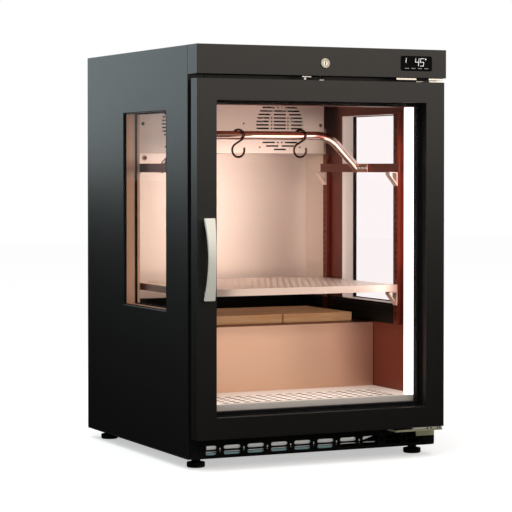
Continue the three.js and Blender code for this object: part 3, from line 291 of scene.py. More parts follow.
# Painted dark reflection: the dark brown stands for the dark interior that polished steel mirrors.
hook_steel = brushed_steel("dark_reflection_hook_steel", "#6a473a", "#553629", 0.15, scratch_mm=1)
zinc_plate = brushed_steel("zinc_plated_steel", "#b9b8ac", "#95937f", 0.38)
mill_aluminium = brushed_steel("mill_finish_aluminium", "#c9cccd", "#aeb2b3", 0.42)
nickel_plate = brushed_steel("satin_nickel_plate", "#f0f0e6", "#dcdcd0", 0.4, metallic=0.3)
olive_zinc = brushed_steel("olive_passivated_zinc", "#b4b394", "#9c9b7c", 0.5, metallic=0.3)

# %% [markdown]
# **Glass.** The door and the side windows are clear float glass with the low-reflection
# coating of display cases. A pane this thin barely bends the view, so each is a clear sheet
# that mirrors next to nothing when looked at squarely and more towards grazing angles.

# %% Float glass
MIRROR_SQUARE = 0.001
MIRROR_GRAZING = 0.15


def float_glass(name, tint):
    material, tree, shader, _ = new_finish(name)
    facing = add(tree, "ShaderNodeLayerWeight", {"Blend": 0.5}).outputs["Facing"]
    fifth = add(tree, "ShaderNodeMath", {0: facing, 1: 5.0}, operation="POWER").outputs[0]
    mirrored = add(tree, "ShaderNodeMath", {0: fifth, 1: MIRROR_GRAZING, 2: MIRROR_SQUARE},
                   operation="MULTIPLY_ADD").outputs[0]
    clear = add(tree, "ShaderNodeBsdfTransparent", {"Color": linear(tint)})
    gloss = add(tree, "ShaderNodeBsdfGlossy", {"Color": (1, 1, 1, 1), "Roughness": 0.02})
    mix = add(tree, "ShaderNodeMixShader", {
        0: mirrored, 1: clear.outputs[0], 2: gloss.outputs[0],
    })
    tree.links.new(mix.outputs[0], tree.nodes["Material Output"].inputs["Surface"])
    tree.nodes.remove(shader)
    return material


clear_glass = float_glass("clear_float_glass", "#fffefe")

# %% [markdown]
# **Wood.** The two boards are planed, unvarnished pale wood. The grain runs across the
# cabinet: long darker bands a few millimetres apart, and finer pores between them.

# %% Planed pale wood
RING_MM = 9
PORE_MM = 0.9


def planed_wood(name, early, late, pore_colour):
    material, tree, shader, point = new_finish(name, specular_ior_level=0.3)
    rings = grain(tree, point, RING_MM, stretch=(0.06, 0.6, 1), detail=3)
    pores = grain(tree, point, PORE_MM, stretch=(0.03, 1, 1), detail=2)
    banded = blend_of(tree, spread(tree, rings, 0, 1), linear(early), linear(late))
    coat(tree, shader,
         blend_of(tree, spread(tree, pores, 0, 0.35), banded, linear(pore_colour)),
         spread(tree, pores, 0.5, 0.66))
    bump(tree, shader, pores, 0.05)
    return material


pale_wood = planed_wood("planed_pale_beech", "#fbd9a8", "#e9b47c", "#a97a4c")

# %% [markdown]
# **Lit parts.** The light bars have opal covers over a row of diodes, and the controller's
# digits are diodes behind the acrylic. Both give off light of their own. The marks on the keys
# are only printed, in grey.

# %% Lit plastics and printed marks
DIODE_PITCH = 26


def lit_plastic(name, colour, strength):
    material, tree, shader, point = new_finish(name, roughness=0.4)
    shader.inputs["Base Color"].default_value = linear("#f2f2f2")
    shader.inputs["Emission Strength"].default_value = strength
    diodes = grain(tree, point, DIODE_PITCH)
    tree.links.new(blend_of(tree, diodes, linear(colour), linear("#ffffff")),
                   shader.inputs["Emission Color"])
    return material


opal_light = lit_plastic("opal_light_cover", "#ffe6da", 1.8)
lit_digit = lit_plastic("lit_white_diode", "#eef2f4", 0.55)
dim_label = moulded_plastic("printed_grey_label", "#a8a4a4", 0.5, specular=0.2)

# %% [markdown]
# ## Helpers for shapes
# Most new pieces are cut, drilled and rounded from simple stock, as a workshop does. Blocks,
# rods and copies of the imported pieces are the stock.

# %% Stock shapes
WELD = 0.000001


def block(bm, x0, x1, y0, y1, z0, z1):
    """A box between two distances on each axis."""
    made = bmesh.ops.create_cube(bm, size=1)["verts"]
    low, high = at(x0, y0, z0), at(x1, y1, z1)
    bmesh.ops.scale(bm, vec=high - low, verts=made)
    bmesh.ops.translate(bm, vec=(low + high) / 2, verts=made)


def rod(bm, start, end, radius, steps=24, end_radius=None):
    """A round bar from one place to another, which an end radius makes a cone."""
    low, high = at(*start), at(*end)
    turn = (high - low).to_track_quat("Z", "Y").to_matrix().to_4x4()
    tip = radius if end_radius is None else end_radius
    bmesh.ops.create_cone(
        bm, cap_ends=True, segments=steps, radius1=radius * MM, radius2=tip * MM,
        depth=(high - low).length, matrix=Matrix.Translation((low + high) / 2) @ turn)


def from_node(node):
    """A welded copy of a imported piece, with its flat faces in one piece again."""
    bm = bmesh.new()
    bm.from_mesh(frame["nodes"][node].data)
    bmesh.ops.remove_doubles(bm, verts=bm.verts, dist=WELD)
    bmesh.ops.dissolve_limit(bm, angle_limit=math.radians(0.5), verts=bm.verts, edges=bm.edges)
    return bm


# %% [markdown]
# A piece is finished by rounding its edges, shading it smooth between them, and naming the body
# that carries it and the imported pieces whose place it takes. Some pieces get a second finish on
# a few of their faces.

# %% Finishing a piece
ROUNDED_DEGREES = 30
SHARP_DEGREES = 38
BEVEL_STEPS = 2


def round_edges(bm, radius):
    """Rounds every edge that is sharper than a slight bend."""
    least = math.radians(ROUNDED_DEGREES)
    edges = [e for e in bm.edges if len(e.link_faces) == 2 and e.calc_face_angle() > least]
    bmesh.ops.bevel(bm, geom=edges, offset=radius * MM, segments=BEVEL_STEPS, profile=0.5,
                    affect="EDGES", clamp_overlap=True, material=-1)


def as_object(bm, name="part"):
    mesh = bpy.data.meshes.new(name)
    bm.to_mesh(mesh)
    bm.free()
    part = bpy.data.objects.new(name, mesh)
    scene.collection.objects.link(part)
    return part


def finish_piece(name, bm, material, body="cabinet", replaces=()):
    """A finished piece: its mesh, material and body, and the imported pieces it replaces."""
    piece = as_object(bm, name)
    piece.data.materials.append(material)
    piece.data.shade_smooth()
    piece.data.set_sharp_from_angle(angle=math.radians(SHARP_DEGREES))
    even = piece.modifiers.new("even normals", "WEIGHTED_NORMAL")
    even.keep_sharp = True
    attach(piece, body)
    if replaces:
        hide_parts(*replaces)
    print(f"{name}: {len(piece.data.polygons)} faces on {body}")
    return piece


def coat_faces(piece, finish, chosen):
    """Gives one finish to those faces whose middle (in millimetres) and normal are chosen."""
    piece.data.materials.append(finish)
    for face in piece.data.polygons:
        middle = (face.center - Vector((0, DOOR_FACE, CASE_BOTTOM))) / MM
        if chosen(middle, face.normal):
            face.material_index = len(piece.data.materials) - 1


def softened(node, name, material, radius):
    """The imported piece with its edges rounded, in its place."""
    bm = from_node(node)
    round_edges(bm, radius)
    body = frame["nodes"][node]["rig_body"]
    return finish_piece(name, bm, material, body, replaces=[node])


# %% [markdown]
# Holes and hollows are cut with Boolean modifiers. The exact solver leaves clean edges, and the
# result is read back into a mesh that can be rounded. Every cutter reaches a few millimetres
# past what it cuts, so that no thin skin is left.

# %% Cutting


def cut_away(bm, *cutters):
    """Takes closed shapes out of another, one set after the other, with an exact Boolean."""
    base, *tools = [as_object(made) for made in (bm, *cutters)]
    for tool in tools:
        cutting = base.modifiers.new("cut", "BOOLEAN")
        cutting.operation = "DIFFERENCE"
        cutting.solver = "EXACT"
        cutting.object = tool
    result = bmesh.new()
    graph = bpy.context.evaluated_depsgraph_get()
    result.from_mesh(base.evaluated_get(graph).to_mesh())
    for part in (base, *tools):
        bpy.data.objects.remove(part)
    return result


# %% [markdown]
# Three more kinds of stock are of use: a sheet of any outline, a set of blocks in one mesh, and
# a tube, which a curve with a round bevel makes at once.

# %% Sheets and tubes


def plate(bm, corners, depth):
    """A flat sheet drawn by its corners and given its thickness by one straight push."""
    face = bm.faces.new([bm.verts.new(at(*corner)) for corner in corners])
    pushed = bmesh.ops.extrude_face_region(bm, geom=[face])["geom"]
    moved = [v for v in pushed if isinstance(v, bmesh.types.BMVert)]
    bmesh.ops.translate(bm, vec=Vector(depth) * MM, verts=moved)
    bmesh.ops.recalc_face_normals(bm, faces=bm.faces)


def stock(*blocks):
    """A new mesh with one block for each set of six measures."""
    bm = bmesh.new()
    for measures in blocks:
        block(bm, *measures)
    return bm


def tube_along(line, radius, steps):
    """A round tube along a line of places, closed at both ends."""
    curve = bpy.data.curves.new("tube", "CURVE")
    curve.dimensions = "3D"
    curve.bevel_depth = radius * MM
    curve.bevel_resolution = steps
    curve.use_fill_caps = True
    spline = curve.splines.new("POLY")
    spline.points.add(len(line) - 1)
    for point, place in zip(spline.points, line):
        point.co = (*at(*place), 1)
    holder = bpy.data.objects.new("tube", curve)
    scene.collection.objects.link(holder)
    graph = bpy.context.evaluated_depsgraph_get()
    bm = bmesh.new()
    bm.from_mesh(holder.evaluated_get(graph).to_mesh())
    bpy.data.objects.remove(holder)
    bmesh.ops.remove_doubles(bm, verts=bm.verts, dist=WELD)
    bmesh.ops.recalc_face_normals(bm, faces=bm.faces)
    return bm


# %% [markdown]
# ## The case
# Bent sheet never has a knife edge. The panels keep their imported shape, and their folds get
# the small radius that a press brake leaves, which catches a thin line of light.

# %% Case panels
SIDES = (("left", -1), ("right", 1))
for side, _ in SIDES:
    softened(f"side_wall_{side}", f"side_panel_{side}", black_coat, 1.2)
softened("carcass", "case_shell", black_coat, 0.8)
softened("canopy", "canopy_fascia", black_coat, 1.0)
softened("kick_grille", "kick_panel", black_plastic, 0.5)
softened("base_pan", "pan", black_coat, 0.5)

# %% [markdown]
# Behind the kick grille lies the air baffle of the machine bay, a strip of white foam with a
# slanted end, and under it run the drain pipe and a thin capillary line. They are what
# the slots show.

# %% Baffle and pipes behind the kick grille
GRILLE_REAR = measured("kick_grille")[1].y
BAY_LEFT = measured("carcass")[0].x + 4
BAFFLE_BOTTOM, BAFFLE_TOP = 16.8, 44
BAFFLE_END, SLANT_START, SLANT_TOP = 150, 112, 29
PIPES = (("drain_pipe", 44, 4, 8, 3.6, 24, teal_hose, "gasket_rubber"),
         ("capillary_line", BAFFLE_END, 3, 13.4, 0.9, 12, white_foam, "light_white"))
strip = bmesh.new()
baffle_edge = [(BAY_LEFT, BAFFLE_BOTTOM), (SLANT_START, BAFFLE_BOTTOM),
               (BAFFLE_END, SLANT_TOP), (BAFFLE_END, BAFFLE_TOP), (BAY_LEFT, BAFFLE_TOP)]
plate(strip, [(x, GRILLE_REAR + 0.05, z) for x, z in baffle_edge], (0, 0.2, 0))
finish_piece("air_baffle", strip, white_foam)
for name, end, behind, level, radius, steps, material, slot in PIPES:
    pipe = bmesh.new()
    rod(pipe, (BAY_LEFT, GRILLE_REAR + behind, level), (end, GRILLE_REAR + behind, level),
        radius, steps)
    finish_piece(name, pipe, material)

# %% [markdown]
# The rear service grille is moulded: each louvre is a slot under a sloping hood that keeps
# drips out, and the panel is held by round-headed screws at its edges.

# %% Rear grille with hooded louvres
LOUVRE_ROWS = 8
LOUVRE_PITCH = 21
HOOD_LENGTH = 168
HOOD_OUTLINE = ((0, 4.6), (0, 3.2), (6, -1.6), (6.6, -0.6))
SCREW_INSET = 9
PANEL_FACE = measured("base_pan")[1].y - 12
low, high = measured("rear_grille")
grille = from_node("rear_grille")
for way in (-1, 1):
    hood_start = way * (high.x - low.x) / 4 - HOOD_LENGTH / 2
    for row in range(LOUVRE_ROWS):
        level = (low.z + high.z) / 2 + (row - (LOUVRE_ROWS - 1) / 2) * LOUVRE_PITCH
        plate(grille, [(hood_start, PANEL_FACE + out, level + up) for out, up in HOOD_OUTLINE],
              (HOOD_LENGTH, 0, 0))
finish_piece("service_grille", grille, black_plastic, replaces=["rear_grille"])
screws = bmesh.new()
for x in (low.x + SCREW_INSET, 0, high.x - SCREW_INSET):
    for z in (low.z + SCREW_INSET, high.z - SCREW_INSET):
        rod(screws, (x, PANEL_FACE - 0.4, z), (x, PANEL_FACE + 1.8, z), 4, end_radius=2.6)
finish_piece("service_screws", screws, zinc_plate)

# %% [markdown]
# ## The liner
# The stainless liner is folded from several sheets. Its material is chosen face by face: it is
# the dark painted-shade copy of the steel, the front of the hump and the handle side's window
# opening get the warm painted-light copy, and white plastic lines the window opening of the hinge
# side.

# %% Liner
liner = softened("inner_liner", "liner", deep_stainless, 0.25)
hump_top = measured("board_1")[0].z - 0.3
tray_low, tray_high = measured("floor_tray")
wall = tray_high.x
# Painted light: faces towards the lamps get the lighter copy; the rest keep the painted shade.
coat_faces(liner, warm_stainless,
           lambda middle, normal: normal.y < -0.5 and middle.z < hump_top)
coat_faces(liner, warm_stainless, lambda middle, normal: middle.x < -wall - 0.8)
coat_faces(liner, white_trim, lambda middle, normal: middle.x > wall + 0.8)

# %% [markdown]
# The sheet at the back is paler than the sides with painted light, and its edges are folded
# forward as far as the rear uprights. Black plastic panels stand on three sides above the hump,
# where there is only shade: they are painted shade, with two fine beads along them.

# %% Back sheet and black panels of painted shade
BACK_SHEET, FOLD_SHEET = 1, 0.9
BACK_FOOT, BACK_OVERLAP = 45, 60
GAP = 0.5
SKIRTING_FOOT = 2
SIDE_DEPTH, SIDE_TOP = 2.5, 48
REAR_DEPTH, REAR_TOP = 3, 46
BEAD_LEVELS = (27, 43)
BEAD_RADIUS = 0.9
back = measured("evaporator_cover")[1].y
cover_bottom = measured("evaporator_cover")[0].z
rear_low, rear_high = measured("upright_rear_right")
front_high = measured("upright_front_right")[1]
levels = (hump_top + BACK_FOOT, cover_bottom + BACK_OVERLAP)
fold = (rear_high.y + GAP, back - BACK_SHEET)
# Painted light: the back sheet takes the pale copy of the steel.
finish_piece("back_sheet", stock(
    (-wall, wall, back - BACK_SHEET, back, *levels),
    (-wall, FOLD_SHEET - wall, *fold, *levels),
    (wall - FOLD_SHEET, wall, *fold, *levels)),
    pale_stainless)
# Painted shade: black panels on the walls above the hump.
for side, way in SIDES:
    skirting = bmesh.new()
    face = way * (wall - SIDE_DEPTH)
    for start, end in ((front_high.y + GAP, rear_low.y - GAP), (rear_high.y + GAP, back)):
        block(skirting, *sorted((face, way * wall)), start, end,
              hump_top + SKIRTING_FOOT, hump_top + SIDE_TOP)
        for level in BEAD_LEVELS:
            rod(skirting, (face, start, hump_top + level), (face, end, hump_top + level),
                BEAD_RADIUS, steps=10)
    finish_piece(f"skirting_{side}", skirting, black_plastic)
finish_piece("shade_panel_back",
             stock((REAR_DEPTH - wall, wall - REAR_DEPTH, back - REAR_DEPTH, back,
                    hump_top + SKIRTING_FOOT, hump_top + REAR_TOP)),
             black_plastic)

# %% [markdown]
# Near the handle side a cable hole in the back sheet is closed by a small grommet: a flange in
# the steel's painted rosy light, with a dark rubber core.

# %% Grommet in the back sheet
GROMMET_X, GROMMET_LEVEL = -170.8, 641
GROMMET = (("grommet_flange", 1.5, 3.4, 6.2, 5.2, rosy_stainless),
           ("grommet_core", 3, 4.2, 3.4, 3.4, gasket_rubber))
for name, near, far, radius, end_radius, material in GROMMET:
    disc = bmesh.new()
    rod(disc, (GROMMET_X, back - near, GROMMET_LEVEL), (GROMMET_X, back - far, GROMMET_LEVEL),
        radius, end_radius=end_radius)
    finish_piece(name, disc, material)

# %% [markdown]
# A dark bead of sealant runs in the corners round the hump, where three sheets meet.

# %% Sealant in the corners
SEALANT_RADIUS = 0.7
hump_face = tray_high.y + 0.3
seams = bmesh.new()
for _, way in SIDES:
    corner = way * (wall - 0.1)
    rod(seams, (corner, hump_face, tray_high.z), (corner, hump_face, hump_top),
        SEALANT_RADIUS, steps=8)
finish_piece("corner_sealant", seams, gasket_rubber)

# %% [markdown]
# The side windows are double glazed. A black spacer shows round the inner pane from outside on
# the handle side, and round the outer pane from inside on the hinge side, where a white bead
# covers the inner edge. Each is a thin frame that lines the opening.

# %% Window edges
PANE_LOW, PANE_HIGH = measured("window_inner_pane_right")


def window_frame(x0, x1, inset):
    """A block as high and deep as the window opening, less an inset on each side."""
    return stock((x0, x1, PANE_LOW.y + inset, PANE_HIGH.y - inset,
                  PANE_LOW.z + inset, PANE_HIGH.z - inset))


def window_lining(name, way, near, far, depth, material):
    """A frame that lines the window opening between two distances from the wall."""
    x0, x1 = sorted((way * (wall + near), way * (wall + far)))
    lining = cut_away(window_frame(x0, x1, -0.2), window_frame(x0 - 5, x1 + 5, depth))
    finish_piece(name, lining, material)


window_lining("inner_spacer_left", -1, 7, 12, 1.6, gasket_rubber)
window_lining("outer_seal_left", -1, 36, 39.6, 1.2, gasket_rubber)
window_lining("inner_bead_right", 1, 2, 13, 0.8, white_trim)
window_lining("outer_spacer_right", 1, 29.6, 36.4, 1.6, gasket_rubber)

# %% [markdown]
# ## Uprights, rails and brackets
# The uprights are U channels of thin sheet with a close row of punched slots, which only a
# drawing at full detail can show. Each is an open channel cut from a block and punched through.

# %% Slotted uprights
SLOT_PITCH = 13.6
SLOT_WIDTH, SLOT_HEIGHT = 4, 6
FIRST_SLOT = 9
SHEET = 1.2
ROWS = ("front", "rear")
for label, way in SIDES:
    for row in ROWS:
        node = f"upright_{row}_{label}"
        low, high = measured(node)
        middle = (low.y + high.y) / 2
        inner = low.x if way > 0 else high.x
        hollow = stock((*sorted((inner + way * SHEET, inner + way * 20)),
                        low.y + SHEET, high.y - SHEET, low.z - 20, high.z + 5))
        count = int((high.z - low.z + 4) / SLOT_PITCH)
        slots = bmesh.new()
        for i in range(count):
            level = high.z - FIRST_SLOT - i * SLOT_PITCH
            block(slots, inner - 3, inner + 3, middle - SLOT_WIDTH / 2, middle + SLOT_WIDTH / 2,
                  level - SLOT_HEIGHT / 2, level + SLOT_HEIGHT / 2)
        channel = stock((low.x, high.x, low.y, high.y, hump_top + 2.5, high.z))
        channel = cut_away(channel, hollow, slots)
        # The uprights take the dark painted-shade copy of the steel.
        finish_piece(f"slotted_{node}", channel, deep_stainless, replaces=[node])
print("slots in a front upright:", count)

# %% [markdown]
# Each gusset is a strap bent round into a hollow wedge. Each rail of the hanging frame is
# welded to two of them, and the shelf lies on four more. The gussets and the undersides of the
# rails get the pale painted-light copy of the steel, the rest of the rails the painted-shade copy.

# %% Gussets, rails and brackets
RAIL_HEIGHT = 20
for label, _ in SIDES:
    for row in ROWS:
        softened(f"shelf_bracket_{row}_{label}", f"shelf_gusset_{row}_{label}", pale_stainless,
                 0.5)
    rail = softened(f"side_rail_{label}", f"hanging_rail_{label}", deep_stainless, 0.5)
    rail_bottom = measured(f"side_rail_{label}")[1].z - RAIL_HEIGHT
    # Painted light on the rail's underside.
    coat_faces(rail, pale_stainless, lambda middle, normal: middle.z < rail_bottom - 0.2)

# %% [markdown]
# ## Shelf and floor tray
# Both are shallow trays of sheet with their edges folded down. The shelf is punched with short
# slots in staggered rows. The floor tray has a grid of square holes, so that drips run through,
# and a lip along its front. The cut edges of its holes get painted shade: the dark copy of the
# steel.

# %% Punched trays


def punched_tray(low, high, sheet, opening, places):
    """A folded tray, open below, with an opening (length, width) at each place of its top."""
    tray = stock((low.x, high.x, low.y, high.y, low.z, high.z))
    hollow = stock((low.x + sheet, high.x - sheet, low.y + sheet, high.y - sheet,
                    low.z - 5, high.z - sheet))
    openings = bmesh.new()
    for x, y in places:
        block(openings, x - opening[0] / 2, x + opening[0] / 2, y - opening[1] / 2,
              y + opening[1] / 2, high.z - 3, high.z + 3)
    return cut_away(tray, hollow, openings)


# %% Punched shelf
SHELF_ROWS = 22
SHELF_MARGIN = 14
SHELF_SLOT = (11, 5)
SHELF_PITCH = 16
shelf_low, shelf_high = measured("shelf")
row_step = (shelf_high.y - shelf_low.y - 2 * SHELF_MARGIN) / (SHELF_ROWS - 1)
shelf_slots = []
for row in range(SHELF_ROWS):
    count = int((shelf_high.x - shelf_low.x - 2 * SHELF_MARGIN) / SHELF_PITCH) - row % 2
    shelf_slots += [((i - (count - 1) / 2) * SHELF_PITCH,
                     shelf_low.y + SHELF_MARGIN + row * row_step) for i in range(count)]
# The shelf takes the pale painted-light copy of the steel.
finish_piece("punched_shelf",
             punched_tray(shelf_low, shelf_high, SHEET, SHELF_SLOT, shelf_slots),
             pale_stainless, replaces=["shelf"])

# %% Floor tray
TRAY_SHEET = 0.7
TRAY_HOLE = (12.5, 12.5)
HOLE_PITCH = 25
LIP_FOOT = 99.5
tray_holes = [(column * HOLE_PITCH, tray_low.y + (row + 1) * HOLE_PITCH)
              for row in range(5) for column in range(-8, 9)]
tray = punched_tray(tray_low, tray_high, TRAY_SHEET, TRAY_HOLE, tray_holes)
block(tray, tray_low.x, tray_high.x, tray_low.y - 2.2, tray_low.y - 1.2, LIP_FOOT, tray_high.z)
tray = finish_piece("drip_tray", tray, tray_steel, replaces=["floor_tray"])
# Painted shade: the faces inside the holes take the dark copy of the steel.
coat_faces(tray, deep_stainless, lambda middle, normal: abs(normal.z) < 0.5
           and abs(middle.x) < tray_high.x - 5 and tray_low.y + 5 < middle.y < tray_high.y - 5)

# %% [markdown]
# ## Hanging bar and hooks
# The bar is a polished tube, bent down at both ends and bolted to the rails through flat
# flanges. A curve with a round bevel is the quickest way to a smooth tube, and its ends are cut
# off flush with the flanges.

# %% Hanging bar
BAR_RADIUS = 9.75
BEND_RADIUS = 75
BEND_ANGLE = math.radians(45)
BEND_STEPS = 16
bar_low, bar_high = measured("hanging_bar")
bar_y = bar_high.y - 12
bar_level = bar_high.z - BAR_RADIUS
bend_start = bar_high.x - 105.5


def bend(way):
    """Half of the tube's middle line, from the bend out through the flange."""
    turns = [BEND_ANGLE * i / BEND_STEPS for i in range(BEND_STEPS + 1)]
    curved = [(way * (bend_start + BEND_RADIUS * math.sin(t)), bar_y,
               bar_level - BEND_RADIUS * (1 - math.cos(t))) for t in turns]
    x, _, z = curved[-1]
    run = bar_high.x + 30 - abs(x)
    return curved + [(x + way * run, bar_y, z - run * math.tan(BEND_ANGLE))]


bar = tube_along(bend(-1)[::-1] + bend(1), BAR_RADIUS, steps=8)
for way in (-1, 1):
    whole = bar.verts[:] + bar.edges[:] + bar.faces[:]
    bmesh.ops.bisect_plane(bar, geom=whole, plane_co=at(way * (bar_high.x - 1), 0, 0),
                           plane_no=(way, 0, 0), clear_outer=True)
    bmesh.ops.holes_fill(bar, edges=bar.edges)
# The pink tint of the tube is a painted reflection of the rosy interior.
finish_piece("polished_bar", bar, polished_tube, replaces=["hanging_bar"])

# %% [markdown]
# Each flange is a small strip of sheet with three bolts in a row. A washer is a flat rod, and
# a bolt head is a rod with six sides.

# %% Flanges and bolts
FLANGE_SHEET, FLANGE_HEIGHT = 4, 20
BOLT_PITCH = 17
WASHER_RADIUS, WASHER_DEPTH = 5, 0.8
HEAD_RADIUS, HEAD_REACH = 4, 3.6
flanges = bmesh.new()
bolts = bmesh.new()
for way in (-1, 1):
    face = way * (bar_high.x - FLANGE_SHEET)
    washer_face, head_face = face - way * WASHER_DEPTH, face - way * HEAD_REACH
    block(flanges, *sorted((face, way * bar_high.x)), bar_low.y, bar_high.y,
          bar_low.z, bar_low.z + FLANGE_HEIGHT)
    for i in range(3):
        place = (bar_y - BAR_RADIUS - (i + 0.5) * BOLT_PITCH, bar_low.z + FLANGE_HEIGHT / 2)
        rod(bolts, (face, *place), (washer_face, *place), WASHER_RADIUS)
        rod(bolts, (washer_face, *place), (head_face, *place), HEAD_RADIUS, steps=6)
round_edges(flanges, 1.2)
round_edges(bolts, 0.3)
# The flanges carry the steel's painted rosy light.
finish_piece("bar_flanges", flanges, rosy_stainless)
finish_piece("flange_bolts", bolts, bright_steel)

# %% [markdown]
# The hooks are bent from wire, a little out of line with the bar: an upper loop round the bar
# and a lower bowl, each an arc that the wire follows step by step.

# %% Hooks
HOOK_TURN = math.radians(36)
HOOK_WIRE = 2.4
HOOK_PLAY = 0.7
LOOP_ACROSS = BAR_RADIUS / math.cos(HOOK_TURN) + HOOK_WIRE + HOOK_PLAY
LOOP_UP = BAR_RADIUS + HOOK_WIRE + HOOK_PLAY
BOWL_RADIUS = 15.9
BOWL_DROP = 33.9
LOOP_ARC, LOOP_STEPS = (150, -205), 24
BOWL_ARC, BOWL_STEPS = (125, 255), 30


def arc(start, sweep, steps):
    return [math.radians(start + sweep * i / steps) for i in range(steps + 1)]


def hook_line(x):
    bent = [(LOOP_ACROSS * math.cos(a), LOOP_UP * math.sin(a))
            for a in arc(*LOOP_ARC, LOOP_STEPS)]
    bent += [(BOWL_RADIUS * math.cos(a), BOWL_RADIUS * math.sin(a) - BOWL_DROP)
             for a in arc(*BOWL_ARC, BOWL_STEPS)]
    return [(x + u * math.sin(HOOK_TURN), bar_y - u * math.cos(HOOK_TURN), bar_level + v)
            for u, v in bent]


for index, share in ((1, -0.413), (2, 0.7)):
    hook = tube_along(hook_line(share * bend_start), HOOK_WIRE, steps=4)
    # The hooks carry the painted dark reflection.
    finish_piece(f"wire_hook_{index}", hook, hook_steel, f"hook_{index}",
                 replaces=[f"s_hook_{index}"])

# %% [markdown]
# ## Evaporator cover and fans
# The cover is a folded box of sheet, pale with painted light, with two round grilles. Each grille
# is rows of slots that end on one circle: the outer slots follow the circle, and what is left in
# the middle gets a slot, two dots or nothing. Black fan frames sit close behind, so the slots look
# dark.

# %% Cover with two grilles
GRILLE_RADIUS = 62
ROW_PITCH = 8.3
SLOT_LENGTH = 32.5
SLOT_RISE = 3.6
DOT_LENGTH = 4
BRIDGE_DOTS = [(-21.6, DOT_LENGTH), (21.6, DOT_LENGTH)]
CENTRE_DOTS = [(-5, DOT_LENGTH), (5, DOT_LENGTH)]
cover_low, cover_high = measured("evaporator_cover")
fan_middles = []
for side, _ in SIDES:
    low, high = measured(f"evaporator_fan_{side}")
    fan_middles.append(((low.x + high.x) / 2, (low.z + high.z) / 2))


def grille_row(rise):
    """The slots of one row, each as its middle and its length."""
    end = math.sqrt(GRILLE_RADIUS ** 2 - rise ** 2)
    if end < SLOT_LENGTH:
        return [(0, SLOT_LENGTH)]
    start = end - SLOT_LENGTH
    slots = [(way * (start + end) / 2, SLOT_LENGTH) for way in (-1, 1)]
    if start > 25:
        return slots + [(0, SLOT_LENGTH)] + BRIDGE_DOTS
    if start > 18:
        return slots + [(0, SLOT_LENGTH)]
    return slots + (CENTRE_DOTS if start > 10 else [])


hollow = stock((cover_low.x + SHEET, cover_high.x - SHEET, cover_low.y + SHEET, cover_high.y + 5,
                cover_low.z + SHEET, cover_high.z + 5))
slots = bmesh.new()
for x, z in fan_middles:
    for row in range(-7, 8):
        level = z + row * ROW_PITCH
        for offset, length in grille_row(row * ROW_PITCH):
            block(slots, x + offset - length / 2, x + offset + length / 2,
                  cover_low.y - 5, cover_low.y + 5, level - SLOT_RISE / 2, level + SLOT_RISE / 2)
for x in (cover_low.x + 8.5, cover_high.x - 8.5):
    rod(slots, (x, cover_low.y - 5, fan_middles[0][1]), (x, cover_low.y + 5, fan_middles[0][1]), 4)
cover = stock((cover_low.x, cover_high.x, cover_low.y, cover_high.y, cover_low.z, cover_high.z))
finish_piece("fan_cover", cut_away(cover, hollow, slots), pale_stainless,
             replaces=["evaporator_cover"])

# %% [markdown]
# Four small screws hold each fan behind the cover, and one more sits between the grilles. Their
# heads are low cones, which look domed at this size.

# %% Screws in the cover
FAN_SCREW = 53
MIDDLE_SCREW = (26, 722)
screws = bmesh.new()
heads = [MIDDLE_SCREW] + [(x + dx, z + dz) for x, z in fan_middles
                          for dx in (-FAN_SCREW, FAN_SCREW) for dz in (-FAN_SCREW, FAN_SCREW)]
for x, z in heads:
    rod(screws, (x, cover_low.y + 0.2, z), (x, cover_low.y - 0.9, z), 2.4, end_radius=1.6)
# The screws share the hooks' painted dark reflection.
finish_piece("cover_screws", screws, hook_steel)

# %% [markdown]
# A fan frame is a square block with a round bore, a flat motor in the middle of its rear and
# four struts that hold the motor.

# %% Fan frames
FRAME_HALF = 59
BORE_RADIUS = 56
FRAME_DEPTH = 33.8
MOTOR_RADIUS, MOTOR_DEPTH = 27, 11.5
STRUT_RADIUS = 2.4
frames = bmesh.new()
bores = bmesh.new()
frame_front = cover_low.y + 1.4
frame_rear = frame_front + FRAME_DEPTH
strut_y = frame_rear - 2.5
for x, z in fan_middles:
    block(frames, x - FRAME_HALF, x + FRAME_HALF, frame_front, frame_rear,
          z - FRAME_HALF, z + FRAME_HALF)
    rod(bores, (x, frame_front - 5, z), (x, frame_rear + 5, z), BORE_RADIUS, steps=64)
frames = cut_away(frames, bores)
round_edges(frames, 1)
for x, z in fan_middles:
    rod(frames, (x, frame_rear - MOTOR_DEPTH, z), (x, frame_rear, z), MOTOR_RADIUS, steps=40)
    for angle in arc(45, 270, 3):
        end = (x + (FRAME_HALF - 1) * math.cos(angle), strut_y,
               z + (FRAME_HALF - 1) * math.sin(angle))
        rod(frames, (x, strut_y, z), end, STRUT_RADIUS, steps=8)
finish_piece("fan_frames", frames, black_plastic)

# %% [markdown]
# ## Boards
# Two planed boards lie on the hump. Their edges are broken by hand with sandpaper.

# %% Boards
for index in (1, 2):
    softened(f"board_{index}", f"planed_board_{index}", pale_wood, 1.0)

# %% [markdown]
# ## The door
# The door leaf is a deep frame with its glass set well back. Its edges are rounded a little
# more than those of the case. Round the glass lie a glazing bead with a faint shine and,
# between the two panes, a black spacer, which is narrower at the top. The handle is a bowed
# strap with a satin nickel plate.

# %% Door leaf, handle, bead and spacer
BEAD_OUTER, BEAD_INNER = 44.6, 48.4
SPACER_INNER, SPACER_TOP = 55, 46.7
softened("door_frame", "door_leaf", black_coat, 1.4)
softened("handle", "bow_handle", nickel_plate, 1.2)
door_low, door_high = measured("door_frame")


def door_ring(outer, inner, front, rear, upper=None):
    """A frame as big as the door, between two insets from its edge (a third one at the top)."""
    ring = stock((door_low.x + outer, door_high.x - outer, front, rear,
                  door_low.z + outer, door_high.z - outer))
    hole = stock((door_low.x + inner, door_high.x - inner, front - 5, rear + 5,
                  door_low.z + inner, door_high.z - (upper or inner)))
    return cut_away(ring, hole)


